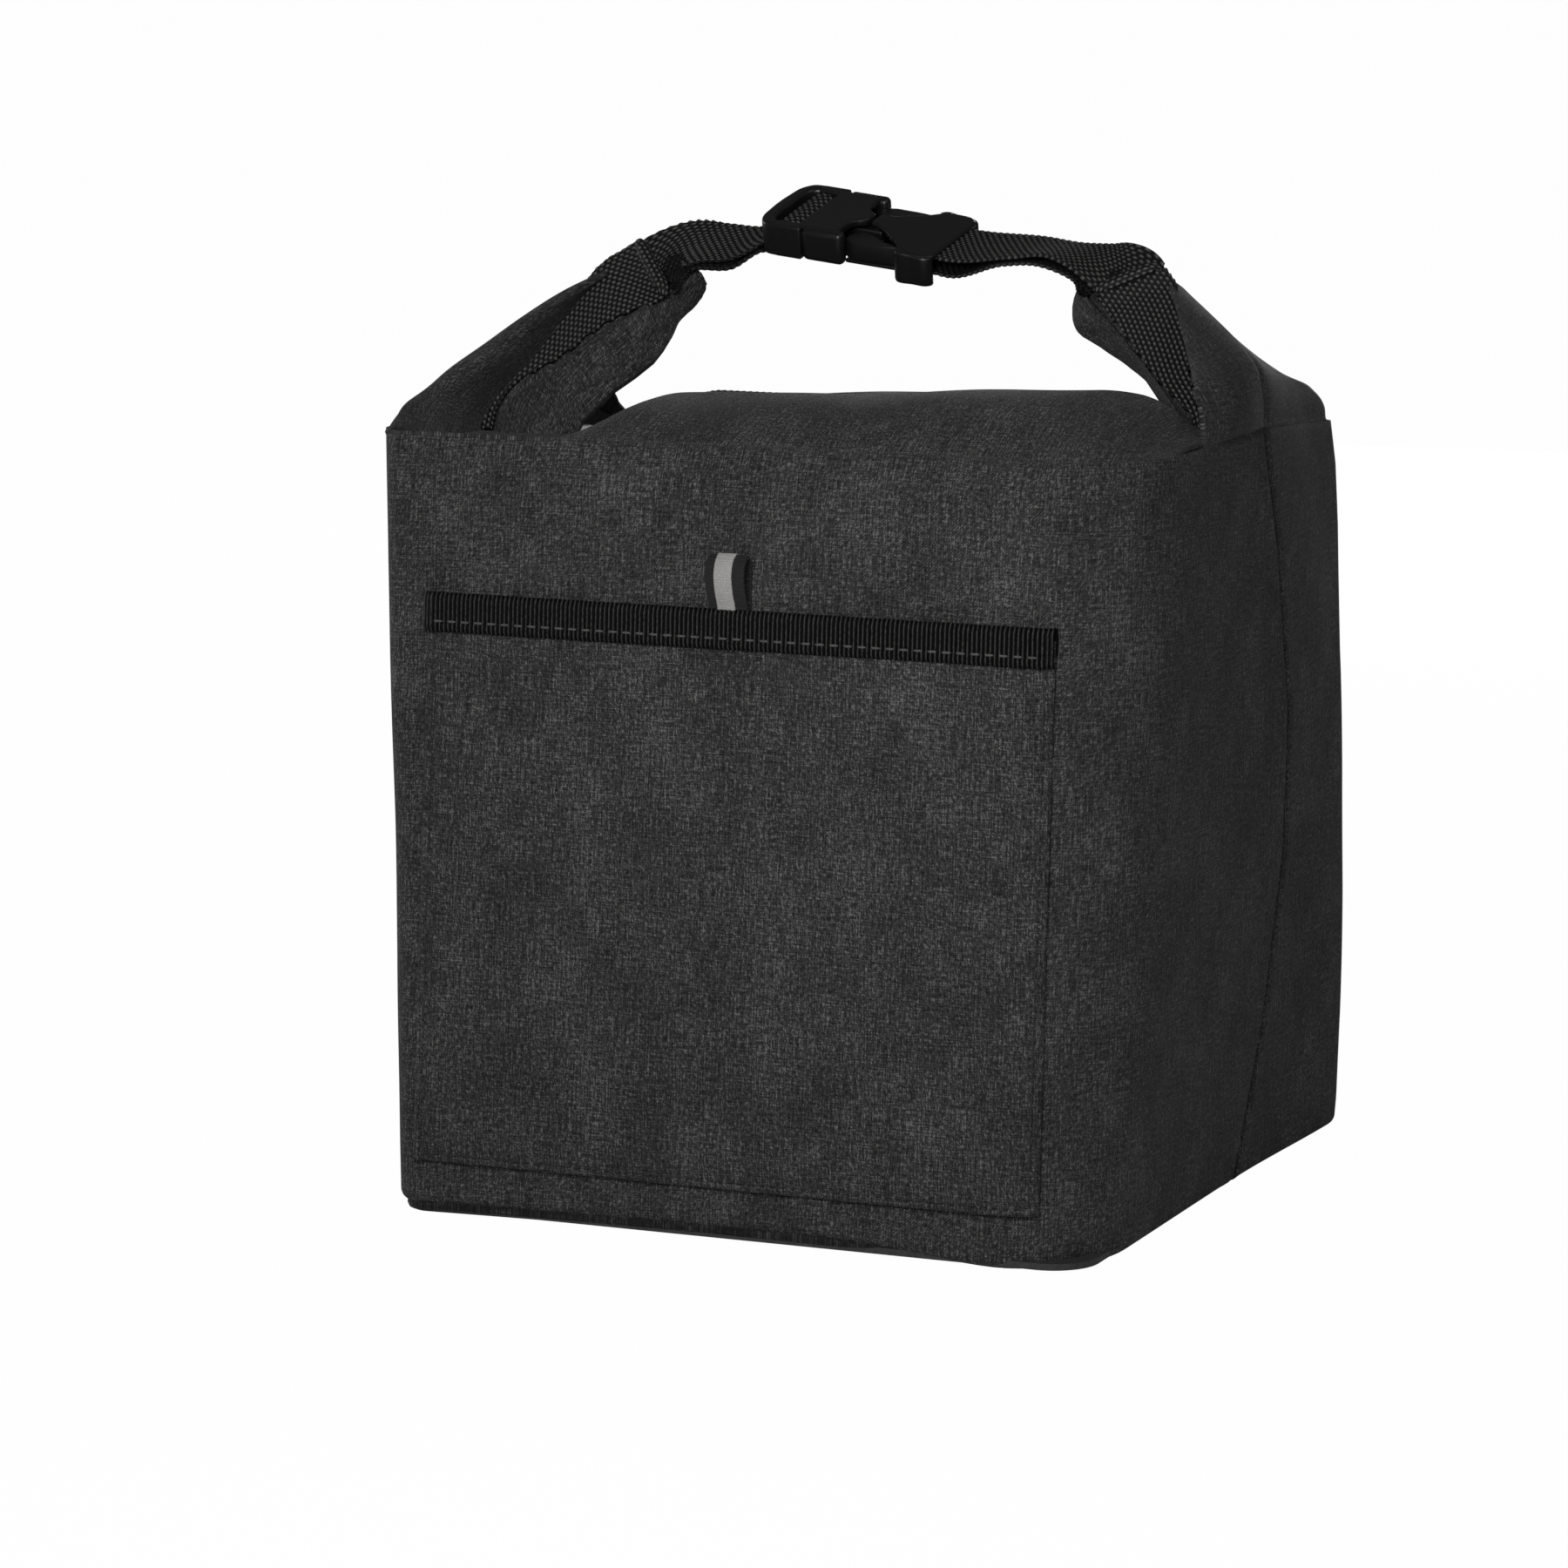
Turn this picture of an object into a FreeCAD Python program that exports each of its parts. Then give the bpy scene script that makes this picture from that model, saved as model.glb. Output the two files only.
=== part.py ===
# A soft insulated lunch bag with a roll top. The rolled mouth turns up at both ends into two
# padded ears, and a webbing strap with a side-release buckle joins the ears as a carry handle.
# The frame has its origin at the middle of the underside, +Z up, the pocket side at -Y.
import FreeCAD
import Part
import math
import os

V = FreeCAD.Vector

# Overall form of the packed, closed bag
height = 240.0
base_width = 226.0
base_depth = 238.0
top_width = 246.0
top_depth = 198.0
back_sink = 7.0
corner_radius = 16.0

# Layers of the walls and floor
fabric = 1.2
foam = 5.0
lining = 0.8
layer_gap = 0.2
seam_gap = 0.3
board = 2.0
wall_start = 0.4

# Front pocket, measured along the front face
pocket_width = 204.0
pocket_middle = -5.0
pocket_low = 17.0
pocket_top_gap = 49.0
pocket_bulge = 6.0
pocket_slope = 14.0
pocket_seam = 3.0
binding_height = 10.5
binding_thickness = 0.9

# Ribbon loop above the pocket
loop_middle = -8.0
loop_width = 13.0
loop_height = 16.5
loop_gap = 4.8
ribbon = 1.1
loop_stand = 0.2
reflector_width = 5.6
reflector_thickness = 0.4

# Flaps that close the mouth from the front and the back
rim_gap = 0.3
front_flap_gap = 2.0
front_flap_rise = 12.0
front_slope_rise = 9.0
front_crest_share = 0.95
tuck_rise = 0.5
hem_rise = 1.0
shoulder_rise = 3.0
tuck_left = -58.0
tuck_slope = 18.0
flap_shoulder = 24.0
back_flap_rise = 5.0
back_crest_share = 0.68
back_flap_end_inset = 44.0
back_flap_hem_inset = 17.0
back_flap_short_depth = 12.0
arch_steps = 8

# Rolled mouth between the flaps
roll_setback = 17.0
roll_width = 32.0
roll_thickness = 9.2
roll_end_inset = 47.0
roll_cover = 6.0

# Ears: the top of each side is drawn up into a gable, and an end of the roll leans on it as an arm
webbing = 25.0
webbing_thickness = 1.5
ear_height = 52.0
ear_knee = 22.0
ear_lean = 46.0
ear_front = -36.0
gable_thickness = 4.0
gable_foot_front = 4.0
gable_foot_back = 14.0
gable_foot_pull = 2.0
gable_knee_front = 55.0
gable_knee_back = 54.0
gable_knee_front_pull = 6.0
gable_knee_seam_pull = 1.0
gable_knee_back_pull = 19.0
gable_top_front = -2.0
gable_top_seam = 7.0
gable_top_back = 15.0
gable_top_front_pull = 34.5
gable_top_seam_pull = 33.0
gable_top_back_pull = 37.0
gable_gap = 2.0
arm_depth = 12.0
arm_foot_inset = 10.0
arm_foot_rise = 6.5
arm_head_inset = 58.0
arm_head_gap = 12.4
arm_low_inset = 7.6
arm_low_rise = 10.0
arm_hip_inset = 9.2
arm_hip_rise = 26.0
arm_shoulder_inset = 21.0
arm_shoulder_rise = 44.0
arm_crown_inset = 40.5
arm_root_rise = 1.0
arm_root_inset = 7.0
band_foot_radius = 7.0
band_head_radius = 3.0
band_foot_rise = 19.0
band_head_rise = 52.0
band_gap = 0.6
piece_gap = 0.3

# Straps and the buckle
strap_inset = 43.0
strap_lap = 16.0
strap_head_gap = 5.4
strap_stack = 3.0
buckle_shift = -12.0
buckle_setback = 8.0
buckle_rise = 4.7
buckle_turn = FreeCAD.Rotation(-6.0, 6.0, 17.0)
buckle_length = 63.0
buckle_thickness = 10.0
buckle_round = 2.4
mouth_place = -1.0
mouth_gap = 0.5
bar_radius = 2.0
bar_clearance = 0.3
bar_room = 1.2
bridge_length = 3.6
bridge_thickness = 2.6
rail_width = 3.9
rail_gap = 0.85
socket_depth = 15.0
socket_wall = 2.0
cavity_wall = 2.5
throat_length = 5.0
throat_wall = 3.05
latch_depth = 1.2
waist_room = 0.6
waist_edge = 1.0
core_gap = 2.6
plate_thickness = 1.9
prong_thickness = 3.0
prong_clearance = 0.4
prong_inset = 0.6
prong_tip_gap = 0.9
pad_inset = 0.65
pad_start = 4.5
pad_stop = 4.0
barb_length = 5.8
guide_half = 3.0
guide_clearance = 0.3
guide_tip_gap = 1.5

# Values that follow from the sizes above
overshoot = 1.0
reach = 2.0 * (base_width + base_depth + height)
foam_inset = fabric + layer_gap
liner_inset = foam_inset + foam + layer_gap
board_low = fabric + layer_gap
foam_low = board_low + board + layer_gap
liner_low = foam_low + foam + layer_gap
pocket_high = height - pocket_top_gap
flap_edge = height + rim_gap + lining + layer_gap + fabric
back_flap_edge = flap_edge - back_sink
front_lean = math.degrees(math.atan((base_depth - top_depth) / 2.0 / height))
loop_foot = pocket_high + binding_thickness + layer_gap + loop_stand
loop_out = layer_gap + pocket_bulge - loop_gap / 2.0
ear_low = height + rim_gap
plane_angle = math.atan(ear_lean / ear_height)
plane_up = V(0, math.sin(plane_angle), math.cos(plane_angle))
plane_out = V(0, -math.cos(plane_angle), math.sin(plane_angle))
plane_length = math.hypot(ear_lean, ear_height)
half_top = top_width / 2.0
arm_head_rise = plane_length - arm_head_gap
strap_reach = half_top - strap_inset
strap_rise = plane_length - strap_head_gap
front_flap_width = top_width - 2.0 * (gable_thickness + gable_gap)
back_flap_end_width = top_width - 2.0 * back_flap_end_inset
back_flap_hem_width = top_width - 2.0 * back_flap_hem_inset
roll_middle = ear_front + roll_setback
roll_length = top_width - 2.0 * roll_end_inset
buckle_place = V(buckle_shift, ear_front + ear_lean + buckle_setback, ear_low + ear_height + buckle_rise)
buckle_width = webbing + 2.0 * (rail_width + rail_gap)
strap_loop = bar_radius + bar_clearance + webbing_thickness
bar_inset = bridge_length + strap_loop + bar_room
waist_reach = buckle_length / 2.0 - bar_inset - strap_loop - waist_room
socket_back = mouth_place - socket_depth
cavity_back = socket_back + cavity_wall
throat_half = buckle_width / 2.0 - throat_wall
prong_half = throat_half - prong_inset
prong_height = buckle_thickness - 2.0 * (socket_wall + prong_clearance)
prong_tip = cavity_back + prong_tip_gap
pad_reach = buckle_width / 2.0 - pad_inset
pad_low = mouth_place + pad_start
pad_high = waist_reach - pad_stop
core_half = prong_half - prong_thickness - core_gap
waist_half = core_half + waist_edge
guide_height = prong_height - 2.0 * guide_clearance
guide_tip = cavity_back + guide_tip_gap


def half_width(z):
    return (base_width + (top_width - base_width) * z / height) / 2.0


def half_depth(z):
    return (base_depth + (top_depth - base_depth) * z / height) / 2.0


def rim_drop(y):
    """How far the rim is sunk below the front rim. It falls away behind the side seams."""
    return back_sink * max(y, 0.0) / half_depth(height)


def polygon(points):
    return Part.makePolygon(points + [points[0]])


def prism(points, direction):
    return Part.Face(polygon(points)).extrude(direction)


def ruled(wires):
    return Part.makeLoft(wires, True, True)


def flat(points):
    return Part.Face(polygon(points))


def faceted(sections):
    """Solid through straight-edged sections. A twisted side folds along its shorter diagonal."""
    faces = [flat(sections[0][::-1]), flat(sections[-1])]
    for lower, upper in zip(sections, sections[1:]):
        following = zip(lower, lower[1:] + lower[:1], upper[1:] + upper[:1], upper)
        for low_start, low_end, high_end, high_start in following:
            if low_start.distanceToPoint(high_end) < low_end.distanceToPoint(high_start):
                faces.append(flat([low_start, low_end, high_end]))
                faces.append(flat([low_start, high_end, high_start]))
            else:
                faces.append(flat([low_start, low_end, high_start]))
                faces.append(flat([low_end, high_end, high_start]))
    solid = Part.Solid(Part.Shell(faces))
    if solid.Volume < 0:
        solid.reverse()
    return solid.removeSplitter()


def box(low, high):
    size = high - low
    return Part.makeBox(size.x, size.y, size.z, low)


def mirrored(shape):
    return shape.mirror(V(0, 0, 0), V(1, 0, 0))


def outline(z, inset):
    """Rounded rectangle of the bag at a height, drawn in by an inset."""
    a = half_width(z) - inset
    b = half_depth(z) - inset
    r = corner_radius - inset
    k = r * math.sqrt(0.5)
    edges = []
    for turn, (long, short) in enumerate([(a, b), (b, a), (a, b), (b, a)]):
        side = FreeCAD.Rotation(V(0, 0, 1), 90.0 * turn)
        start = V(r - long, -short, z)
        stop = V(long - r, -short, z)
        bend = V(long - r + k, r - short - k, z)
        after = V(long, r - short, z)
        start, stop, bend, after = [side.multVec(p) for p in (start, stop, bend, after)]
        edges.append(Part.makeLine(start, stop))
        edges.append(Part.Arc(stop, bend, after).toShape())
    return Part.Wire(edges)


def tapered(inset, z_low, z_high):
    return ruled([outline(z_low, inset), outline(z_high, inset)])


def wall(outer_inset, inner_inset, z_low, z_high):
    core = tapered(inner_inset, z_low - overshoot, z_high + overshoot)
    return tapered(outer_inset, z_low, z_high).cut(core)


def sunk(shape):
    """Takes off the top of a wall layer behind the side seams, down to the sunk back rim."""
    back = half_depth(0.0)
    points = [V(-reach, 0.0, height), V(-reach, back, height - rim_drop(back))]
    points += [V(-reach, back, height + overshoot), V(-reach, 0.0, height + overshoot)]
    return shape.cut(prism(points, V(2.0 * reach, 0, 0)))


def wall_halves():
    """The outer fabric is a front and a back half, sewn together down the middle of each side."""
    shell = wall(0.0, fabric, wall_start, height)
    front_space = box(V(-reach, -reach, -reach), V(reach, -seam_gap / 2.0, reach))
    back_space = box(V(-reach, seam_gap / 2.0, -reach), V(reach, reach, reach))
    return shell.common(front_space), sunk(shell.common(back_space))


def floor_plate(inset, z_low, thickness):
    return tapered(inset, z_low, z_low + thickness)


def foam_board(turn, along, across):
    """Flat foam board of one wall. Its ends are bevelled to follow the rounded corners."""
    sections = []
    for z in (foam_low + foam + layer_gap, height):
        end = along(z) - corner_radius
        face = across(z) - foam_inset
        inner = end + foam
        points = [V(-end, -face, z), V(end, -face, z), V(inner, foam - face, z), V(-inner, foam - face, z)]
        side = FreeCAD.Rotation(V(0, 0, 1), turn)
        sections.append([side.multVec(p) for p in points])
    return sunk(faceted(sections))


def liner_box():
    outside = tapered(liner_inset, liner_low, height)
    inside = tapered(liner_inset + lining, liner_low + lining, height + overshoot)
    return sunk(outside.cut(inside))


def on_front(shape):
    """Turns a shape from the front face's own frame (across, up, out) into the bag's frame."""
    turn = FreeCAD.Rotation(V(1, 0, 0), 90.0 - front_lean)
    shape.Placement = FreeCAD.Placement(V(0, -half_depth(0), 0), turn)
    return shape


def pocket_section(grow):
    """Half widths at the foot and crown of the pocket's arch, and its crown, grown outward."""
    slant = math.atan(pocket_bulge / pocket_slope)
    foot = pocket_width / 2.0 + grow / math.sin(slant)
    crown = pocket_width / 2.0 - pocket_slope + grow * math.tan(slant / 2.0)
    return foot, crown, layer_gap + pocket_bulge + grow


def pocket_arch(grow, v_low, v_high):
    foot, crown, top = pocket_section(grow)
    m = pocket_middle
    points = [V(m - foot, v_low, layer_gap), V(m + foot, v_low, layer_gap)]
    points += [V(m + crown, v_low, top), V(m - crown, v_low, top)]
    return prism(points, V(0, v_high - v_low, 0))


def pocket_block(inset, out_low, out_high, v_high):
    """Pouch form with sloped sides and foot, straight at its top edge."""
    sections = []
    for out, slope in ((out_low, 0.0), (out_high, pocket_slope)):
        side = pocket_width / 2.0 - inset - slope
        low = pocket_low + inset + slope
        left = pocket_middle - side
        right = pocket_middle + side
        points = [V(left, low, out), V(right, low, out), V(right, v_high, out), V(left, v_high, out)]
        sections.append(points)
    return faceted(sections)


def front_pocket():
    pouch = pocket_block(0.0, layer_gap, layer_gap + pocket_bulge, pocket_high)
    hollow = pocket_block(pocket_seam, 0.0, layer_gap + pocket_bulge - fabric, pocket_high + overshoot)
    return on_front(pouch.cut(hollow))


def pocket_binding():
    low = pocket_high - binding_height
    lip = pocket_high + layer_gap
    top = lip + binding_thickness
    skin = pocket_arch(binding_thickness + layer_gap, low, top)
    inside = pocket_arch(layer_gap, low - overshoot, lip)
    slot = pocket_arch(-fabric, lip - overshoot, top + overshoot)
    return on_front(skin.cut(inside).cut(slot))


def loop_profile(thickness_out, x, v_low):
    """Upright face of the ribbon loop's outline, round at its top."""
    r = loop_gap / 2.0 + thickness_out
    out = loop_out
    v_bend = v_low + loop_height - ribbon - loop_gap / 2.0
    left = V(x, v_low, out - r)
    right = V(x, v_low, out + r)
    left_bend = V(x, v_bend, out - r)
    right_bend = V(x, v_bend, out + r)
    crown = Part.Arc(right_bend, V(x, v_bend + r, out), left_bend).toShape()
    lines = [Part.makeLine(left, right), Part.makeLine(right, right_bend)]
    return Part.Face(Part.Wire(lines + [crown, Part.makeLine(left_bend, left)]))


def loop_ring(inner, outer, width, v_low):
    x = loop_middle - width / 2.0
    ring = loop_profile(outer, x, v_low).extrude(V(width, 0, 0))
    hole = loop_profile(inner, x, v_low).extrude(V(width, 0, 0))
    return ring.cut(hole)


def pull_loop():
    return on_front(loop_ring(0.0, ribbon, loop_width, loop_foot))


def reflective_strip():
    inner = ribbon + layer_gap / 2.0
    ring = loop_ring(inner, inner + reflector_thickness, reflector_width, loop_foot)
    front = box(V(-reach, 0, loop_out), V(reach, reach, reach))
    return on_front(ring.common(front))


def arch_section(x, y_hinge, y_free, z, thickness, rise_middle, rise_end):
    """Section of a flap: an arched strip from its hinged edge to its free edge."""
    start = V(x, y_hinge, z)
    middle = V(x, (y_hinge + y_free) / 2.0, z + rise_middle)
    end = V(x, y_free, z + rise_end)
    over = Part.Arc(start, middle, end).toShape().discretize(arch_steps)
    under = [p + V(0, 0, -thickness) for p in reversed(over)]
    return over + under


def front_flap(drop, thickness):
    """Domed front flap: low over the tuck at the left, high from there to the right shoulder."""
    y_hinge = -half_depth(height)
    y_free = ear_front - front_flap_gap
    side = front_flap_width / 2.0
    stations = [(-side, tuck_rise), (tuck_left, tuck_rise)]
    stations += [(tuck_left + tuck_slope, front_slope_rise), (side - flap_shoulder, front_flap_rise)]
    stations += [(side, shoulder_rise)]
    sections = []
    for x, rise in stations:
        crest = front_crest_share * rise
        sections.append(arch_section(x, y_hinge, y_free, flap_edge - drop, thickness, crest, rise))
    return faceted(sections)


def back_flap(drop, thickness):
    """Back flap: it reaches forward to the roll and lies on it, between the two ears."""
    y_hinge = half_depth(height)
    y_free = roll_middle + roll_width / 2.0 - roll_cover
    end = back_flap_end_width / 2.0
    hem = back_flap_hem_width / 2.0
    full_rise = back_sink + back_flap_rise
    short = y_hinge - back_flap_short_depth
    stations = [(-hem, short, hem_rise), (-end, y_free, full_rise)]
    stations += [(end, y_free, full_rise), (hem, short, hem_rise)]
    sections = []
    for x, y, rise in stations:
        crest = back_crest_share * rise
        sections.append(arch_section(x, y_hinge, y, back_flap_edge - drop, thickness, crest, rise))
    return faceted(sections)


def rolled_mouth():
    top = flap_edge - fabric - layer_gap - lining + back_flap_rise - piece_gap
    r = roll_thickness / 2.0
    side = roll_width / 2.0 - r
    x = -roll_length / 2.0
    low = top - roll_thickness
    front = V(x, roll_middle - side, low)
    back = V(x, roll_middle + side, low)
    front_top = V(x, front.y, top)
    back_top = V(x, back.y, top)
    back_end = Part.Arc(back, V(x, back.y + r, low + r), back_top).toShape()
    front_end = Part.Arc(front_top, V(x, front.y - r, low + r), front).toShape()
    wire = Part.Wire([Part.makeLine(front, back), back_end, Part.makeLine(back_top, front_top), front_end])
    return Part.Face(wire).extrude(V(roll_length, 0, 0))


def mouth_webbing():
    top = flap_edge - fabric - layer_gap - lining + back_flap_rise
    back = roll_middle + roll_width / 2.0 - roll_cover - piece_gap
    low = V(-roll_length / 2.0, back - webbing, top - piece_gap + layer_gap)
    return box(low, V(roll_length / 2.0, back, low.z + webbing_thickness))


def in_plane(across, rise, out):
    """A point of the leaning plane that both arms of the handle lie in."""
    return V(across, ear_front, ear_low) + plane_up * rise + plane_out * out


def gable():
    """Top of the right side, drawn up to a peak, with a ridge where the side seam runs on."""
    side = top_depth / 2.0
    peak = ear_front + ear_lean
    foot = [(0.0, gable_foot_front - side), (0.0, 0.0), (gable_foot_pull, side - gable_foot_back)]
    knee = [(gable_knee_front_pull, gable_knee_front - side), (gable_knee_seam_pull, 0.0)]
    knee += [(gable_knee_back_pull, side - gable_knee_back)]
    top = [(gable_top_front_pull, peak + gable_top_front), (gable_top_seam_pull, peak + gable_top_seam)]
    top += [(gable_top_back_pull, peak + gable_top_back)]
    rows = [[V(half_top - pull, y, ear_low - rim_drop(y)) for pull, y in foot]]
    for rise, line in ((ear_knee, knee), (ear_height, top)):
        rows.append([V(half_top - pull, y, ear_low + rise) for pull, y in line])
    inward = V(-gable_thickness, 0, 0)
    front_sheet = faceted([[row[0], row[1], row[1] + inward, row[0] + inward] for row in rows])
    back_sheet = faceted([[row[1], row[2], row[2] + inward, row[1] + inward] for row in rows])
    return front_sheet.fuse(back_sheet).removeSplitter()


def arm_head():
    """The two corners of the arm's square end, on its seam side and on its outer side."""
    foot = V(half_top - arm_foot_inset, arm_foot_rise, 0)
    head = V(half_top - arm_head_inset, arm_head_rise, 0)
    along = (head - foot).normalize()
    return head, head + V(along.y, -along.x, 0) * webbing


def arm_outline(low, grow):
    """Corners of an arm in the leaning plane, from the seam's foot round the head to the gable."""
    head, corner = arm_head()
    points = [V(half_top - arm_foot_inset, arm_foot_rise, 0), head, corner]
    points += [V(half_top - arm_crown_inset + grow, plane_length, 0)]
    points += [V(half_top - arm_shoulder_inset + grow, arm_shoulder_rise, 0)]
    points += [V(half_top - arm_hip_inset + grow, arm_hip_rise, 0)]
    return points + low


def ear():
    """Right ear: the gable and the rolled layers of the arm that are sewn to its inside."""
    root_reach = half_top - arm_root_inset
    low = [V(half_top - gable_thickness / 2.0, arm_root_rise, 0), V(root_reach, arm_root_rise, 0)]
    outline_points = arm_outline(low, gable_thickness)
    arm = prism([in_plane(p.x, p.y, 0.0) for p in outline_points], plane_out * -arm_depth)
    above = box(V(-reach, -reach, ear_low), V(reach, reach, reach))
    return gable().fuse(arm.common(above)).removeSplitter()


def roll_end():
    """Puffed fold of fabric along the inner edge of an arm, thick at its foot."""
    head = arm_head()[0]
    foot = V(half_top - arm_foot_inset, arm_foot_rise, 0)
    along = (head - foot).normalize()
    ends = []
    for rise, radius in ((band_foot_rise, band_foot_radius), (band_head_rise, band_head_radius)):
        on_seam = foot + along * ((rise - arm_foot_rise) / along.y)
        middle = on_seam - V(along.y, -along.x, 0) * (radius + band_gap)
        ends.append(in_plane(middle.x, middle.y, -radius))
    line = ends[1] - ends[0]
    return Part.makeCone(band_foot_radius, band_head_radius, line.Length, ends[0], line)


def arm_webbing():
    """Webbing stitched on the face of an arm, from its foot to the strap."""
    low = [V(half_top - arm_low_inset, arm_low_rise, 0)]
    points = [in_plane(p.x, p.y, piece_gap) for p in arm_outline(low, 0.0)]
    return prism(points, plane_out * webbing_thickness)


def strip_section(middle, wide, thick, width, thickness):
    a = wide * (width / 2.0)
    b = thick * (thickness / 2.0)
    return [middle - a - b, middle + a - b, middle + a + b, middle - a + b]


def buckle_point(x, y, z):
    return buckle_place + buckle_turn.multVec(V(x, y, z))


def strap(side):
    """Doubled strap: it loops round the buckle's bar, passes under the bridge and joins the arm."""
    wide = buckle_turn.multVec(V(0, 1, 0))
    thick = buckle_turn.multVec(V(0, 0, 1))
    bar_x = side * (buckle_length / 2.0 - bar_inset)
    bar = buckle_point(bar_x, 0, 0)
    bridge_edge = buckle_length / 2.0 - bridge_length - piece_gap
    bridge_under = buckle_thickness / 2.0 - bridge_thickness - 2.0 * piece_gap
    loose_stack = strap_loop + bar_radius
    sections = [strip_section(bar, wide, thick, webbing, 2.0 * strap_loop)]
    clear_x = buckle_length / 2.0 + bridge_length
    for x, stack in ((bridge_edge, loose_stack), (clear_x, strap_stack + bar_radius)):
        under = buckle_point(side * x, 0, bridge_under - stack / 2.0)
        sections.append(strip_section(under, wide, thick, webbing, stack))
    out = 2.0 * piece_gap + webbing_thickness + strap_stack / 2.0
    for x in (strap_reach - strap_lap, strap_reach):
        join = in_plane(side * x, strap_rise, out)
        sections.append(strip_section(join, plane_up, plane_out, webbing, strap_stack))
    band = faceted(sections)
    bend = Part.makeCylinder(strap_loop, webbing, bar - wide * (webbing / 2.0), wide)
    start = bar - wide * webbing
    hole = Part.makeCylinder(bar_radius + bar_clearance, 2.0 * webbing, start, wide)
    return band.fuse(bend).cut(hole)


def rounded_bar(x_low, x_high, half, z_low, z_high):
    """Block along the buckle with its four long edges rounded."""
    block = box(V(x_low, -half, z_low), V(x_high, half, z_high))
    long_edges = [e for e in block.Edges if abs(e.Vertexes[0].X - e.Vertexes[1].X) > overshoot]
    return block.makeFillet(buckle_round, long_edges)


def bar_frame(side, inner_x):
    """Open end of a buckle half: two rails, a round bar for the strap and a bridge over it."""
    half = buckle_width / 2.0
    z = buckle_thickness / 2.0
    end = side * buckle_length / 2.0
    x_low = min(end, inner_x)
    x_high = max(end, inner_x)
    frame = rounded_bar(x_low, x_high, half, -z, z)
    inner = half - rail_width
    window_low = min(inner_x, end + side * overshoot)
    window_high = max(inner_x, end + side * overshoot)
    bridge = box(V(x_low, -inner, z - bridge_thickness), V(x_high, inner, z))
    bridge_stop = end - side * bridge_length
    keep = box(V(min(end, bridge_stop), -half, -z), V(max(end, bridge_stop), half, z))
    frame = frame.cut(box(V(window_low, -inner, -z - overshoot), V(window_high, inner, z + overshoot)))
    bar_x = end - side * bar_inset
    start = V(bar_x, -inner - overshoot / 2.0, 0)
    bar = Part.makeCylinder(bar_radius, 2.0 * inner + overshoot, start, V(0, 1, 0))
    return frame.fuse([bridge.common(keep), bar])


def placed_buckle(shape):
    shape.Placement = FreeCAD.Placement(buckle_place, buckle_turn)
    return shape


def buckle_socket():
    """Socket half: an open frame for the strap and a hollow body that the prongs latch in."""
    half = buckle_width / 2.0
    z = buckle_thickness / 2.0
    body = rounded_bar(socket_back, mouth_place, half, -z, z)
    inside = z - socket_wall
    wide = throat_half + latch_depth
    hollow = box(V(cavity_back, -wide, -inside), V(mouth_place - throat_length, wide, inside))
    throat = box(V(cavity_back, -throat_half, -inside), V(mouth_place + overshoot, throat_half, inside))
    shell = body.cut(hollow.fuse(throat))
    return placed_buckle(shell.fuse(bar_frame(-1.0, socket_back)).removeSplitter())


def waisted_plate(z_low, thickness):
    """Plate of the plug, drawn in at both sides so that fingers reach the prongs."""
    half = buckle_width / 2.0
    start = mouth_place + mouth_gap
    middle = (start + waist_reach) / 2.0
    corners = [V(start, -half, z_low), V(waist_reach, -half, z_low)]
    far = [V(waist_reach, half, z_low), V(start, half, z_low)]
    near_arc = Part.Arc(corners[0], V(middle, -waist_half, z_low), corners[1]).toShape()
    far_arc = Part.Arc(far[0], V(middle, waist_half, z_low), far[1]).toShape()
    ends = [Part.makeLine(corners[1], far[0]), Part.makeLine(far[1], corners[0])]
    wire = Part.Wire([near_arc, ends[0], far_arc, ends[1]])
    return Part.Face(wire).extrude(V(0, 0, thickness))


def buckle_plug():
    """Plug half: a waisted body between two plates, a centre guide and the other strap frame."""
    z = buckle_thickness / 2.0
    start = mouth_place + mouth_gap
    top = waisted_plate(z - plate_thickness, plate_thickness)
    under = waisted_plate(-z, plate_thickness)
    core = box(V(start, -core_half, -z), V(waist_reach, core_half, z))
    guide_low = V(guide_tip, -guide_half, -guide_height / 2.0)
    guide = box(guide_low, V(start + overshoot, guide_half, guide_height / 2.0))
    frame = bar_frame(1.0, waist_reach - piece_gap)
    return placed_buckle(top.fuse([under, core, guide, frame]).removeSplitter())


def prong(side):
    """Spring arm of the plug: a pad to squeeze, and a barb that latches behind the throat."""
    inner = prong_half - prong_thickness
    root = waist_reach - 2.0 * piece_gap
    heel = mouth_place - throat_length - piece_gap
    barb = throat_half + latch_depth - piece_gap
    slim = throat_half - piece_gap
    points = [V(root, inner, 0), V(root, prong_half, 0)]
    points += [V(pad_high, pad_reach, 0), V(pad_low, pad_reach, 0)]
    points += [V(-mouth_place, slim, 0), V(heel, slim, 0), V(heel, barb, 0)]
    points += [V(heel - barb_length, inner + piece_gap, 0), V(prong_tip, inner, 0)]
    points = [V(p.x, side * p.y, -prong_height / 2.0) for p in points]
    return placed_buckle(prism(points, V(0, 0, prong_height)))


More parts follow.
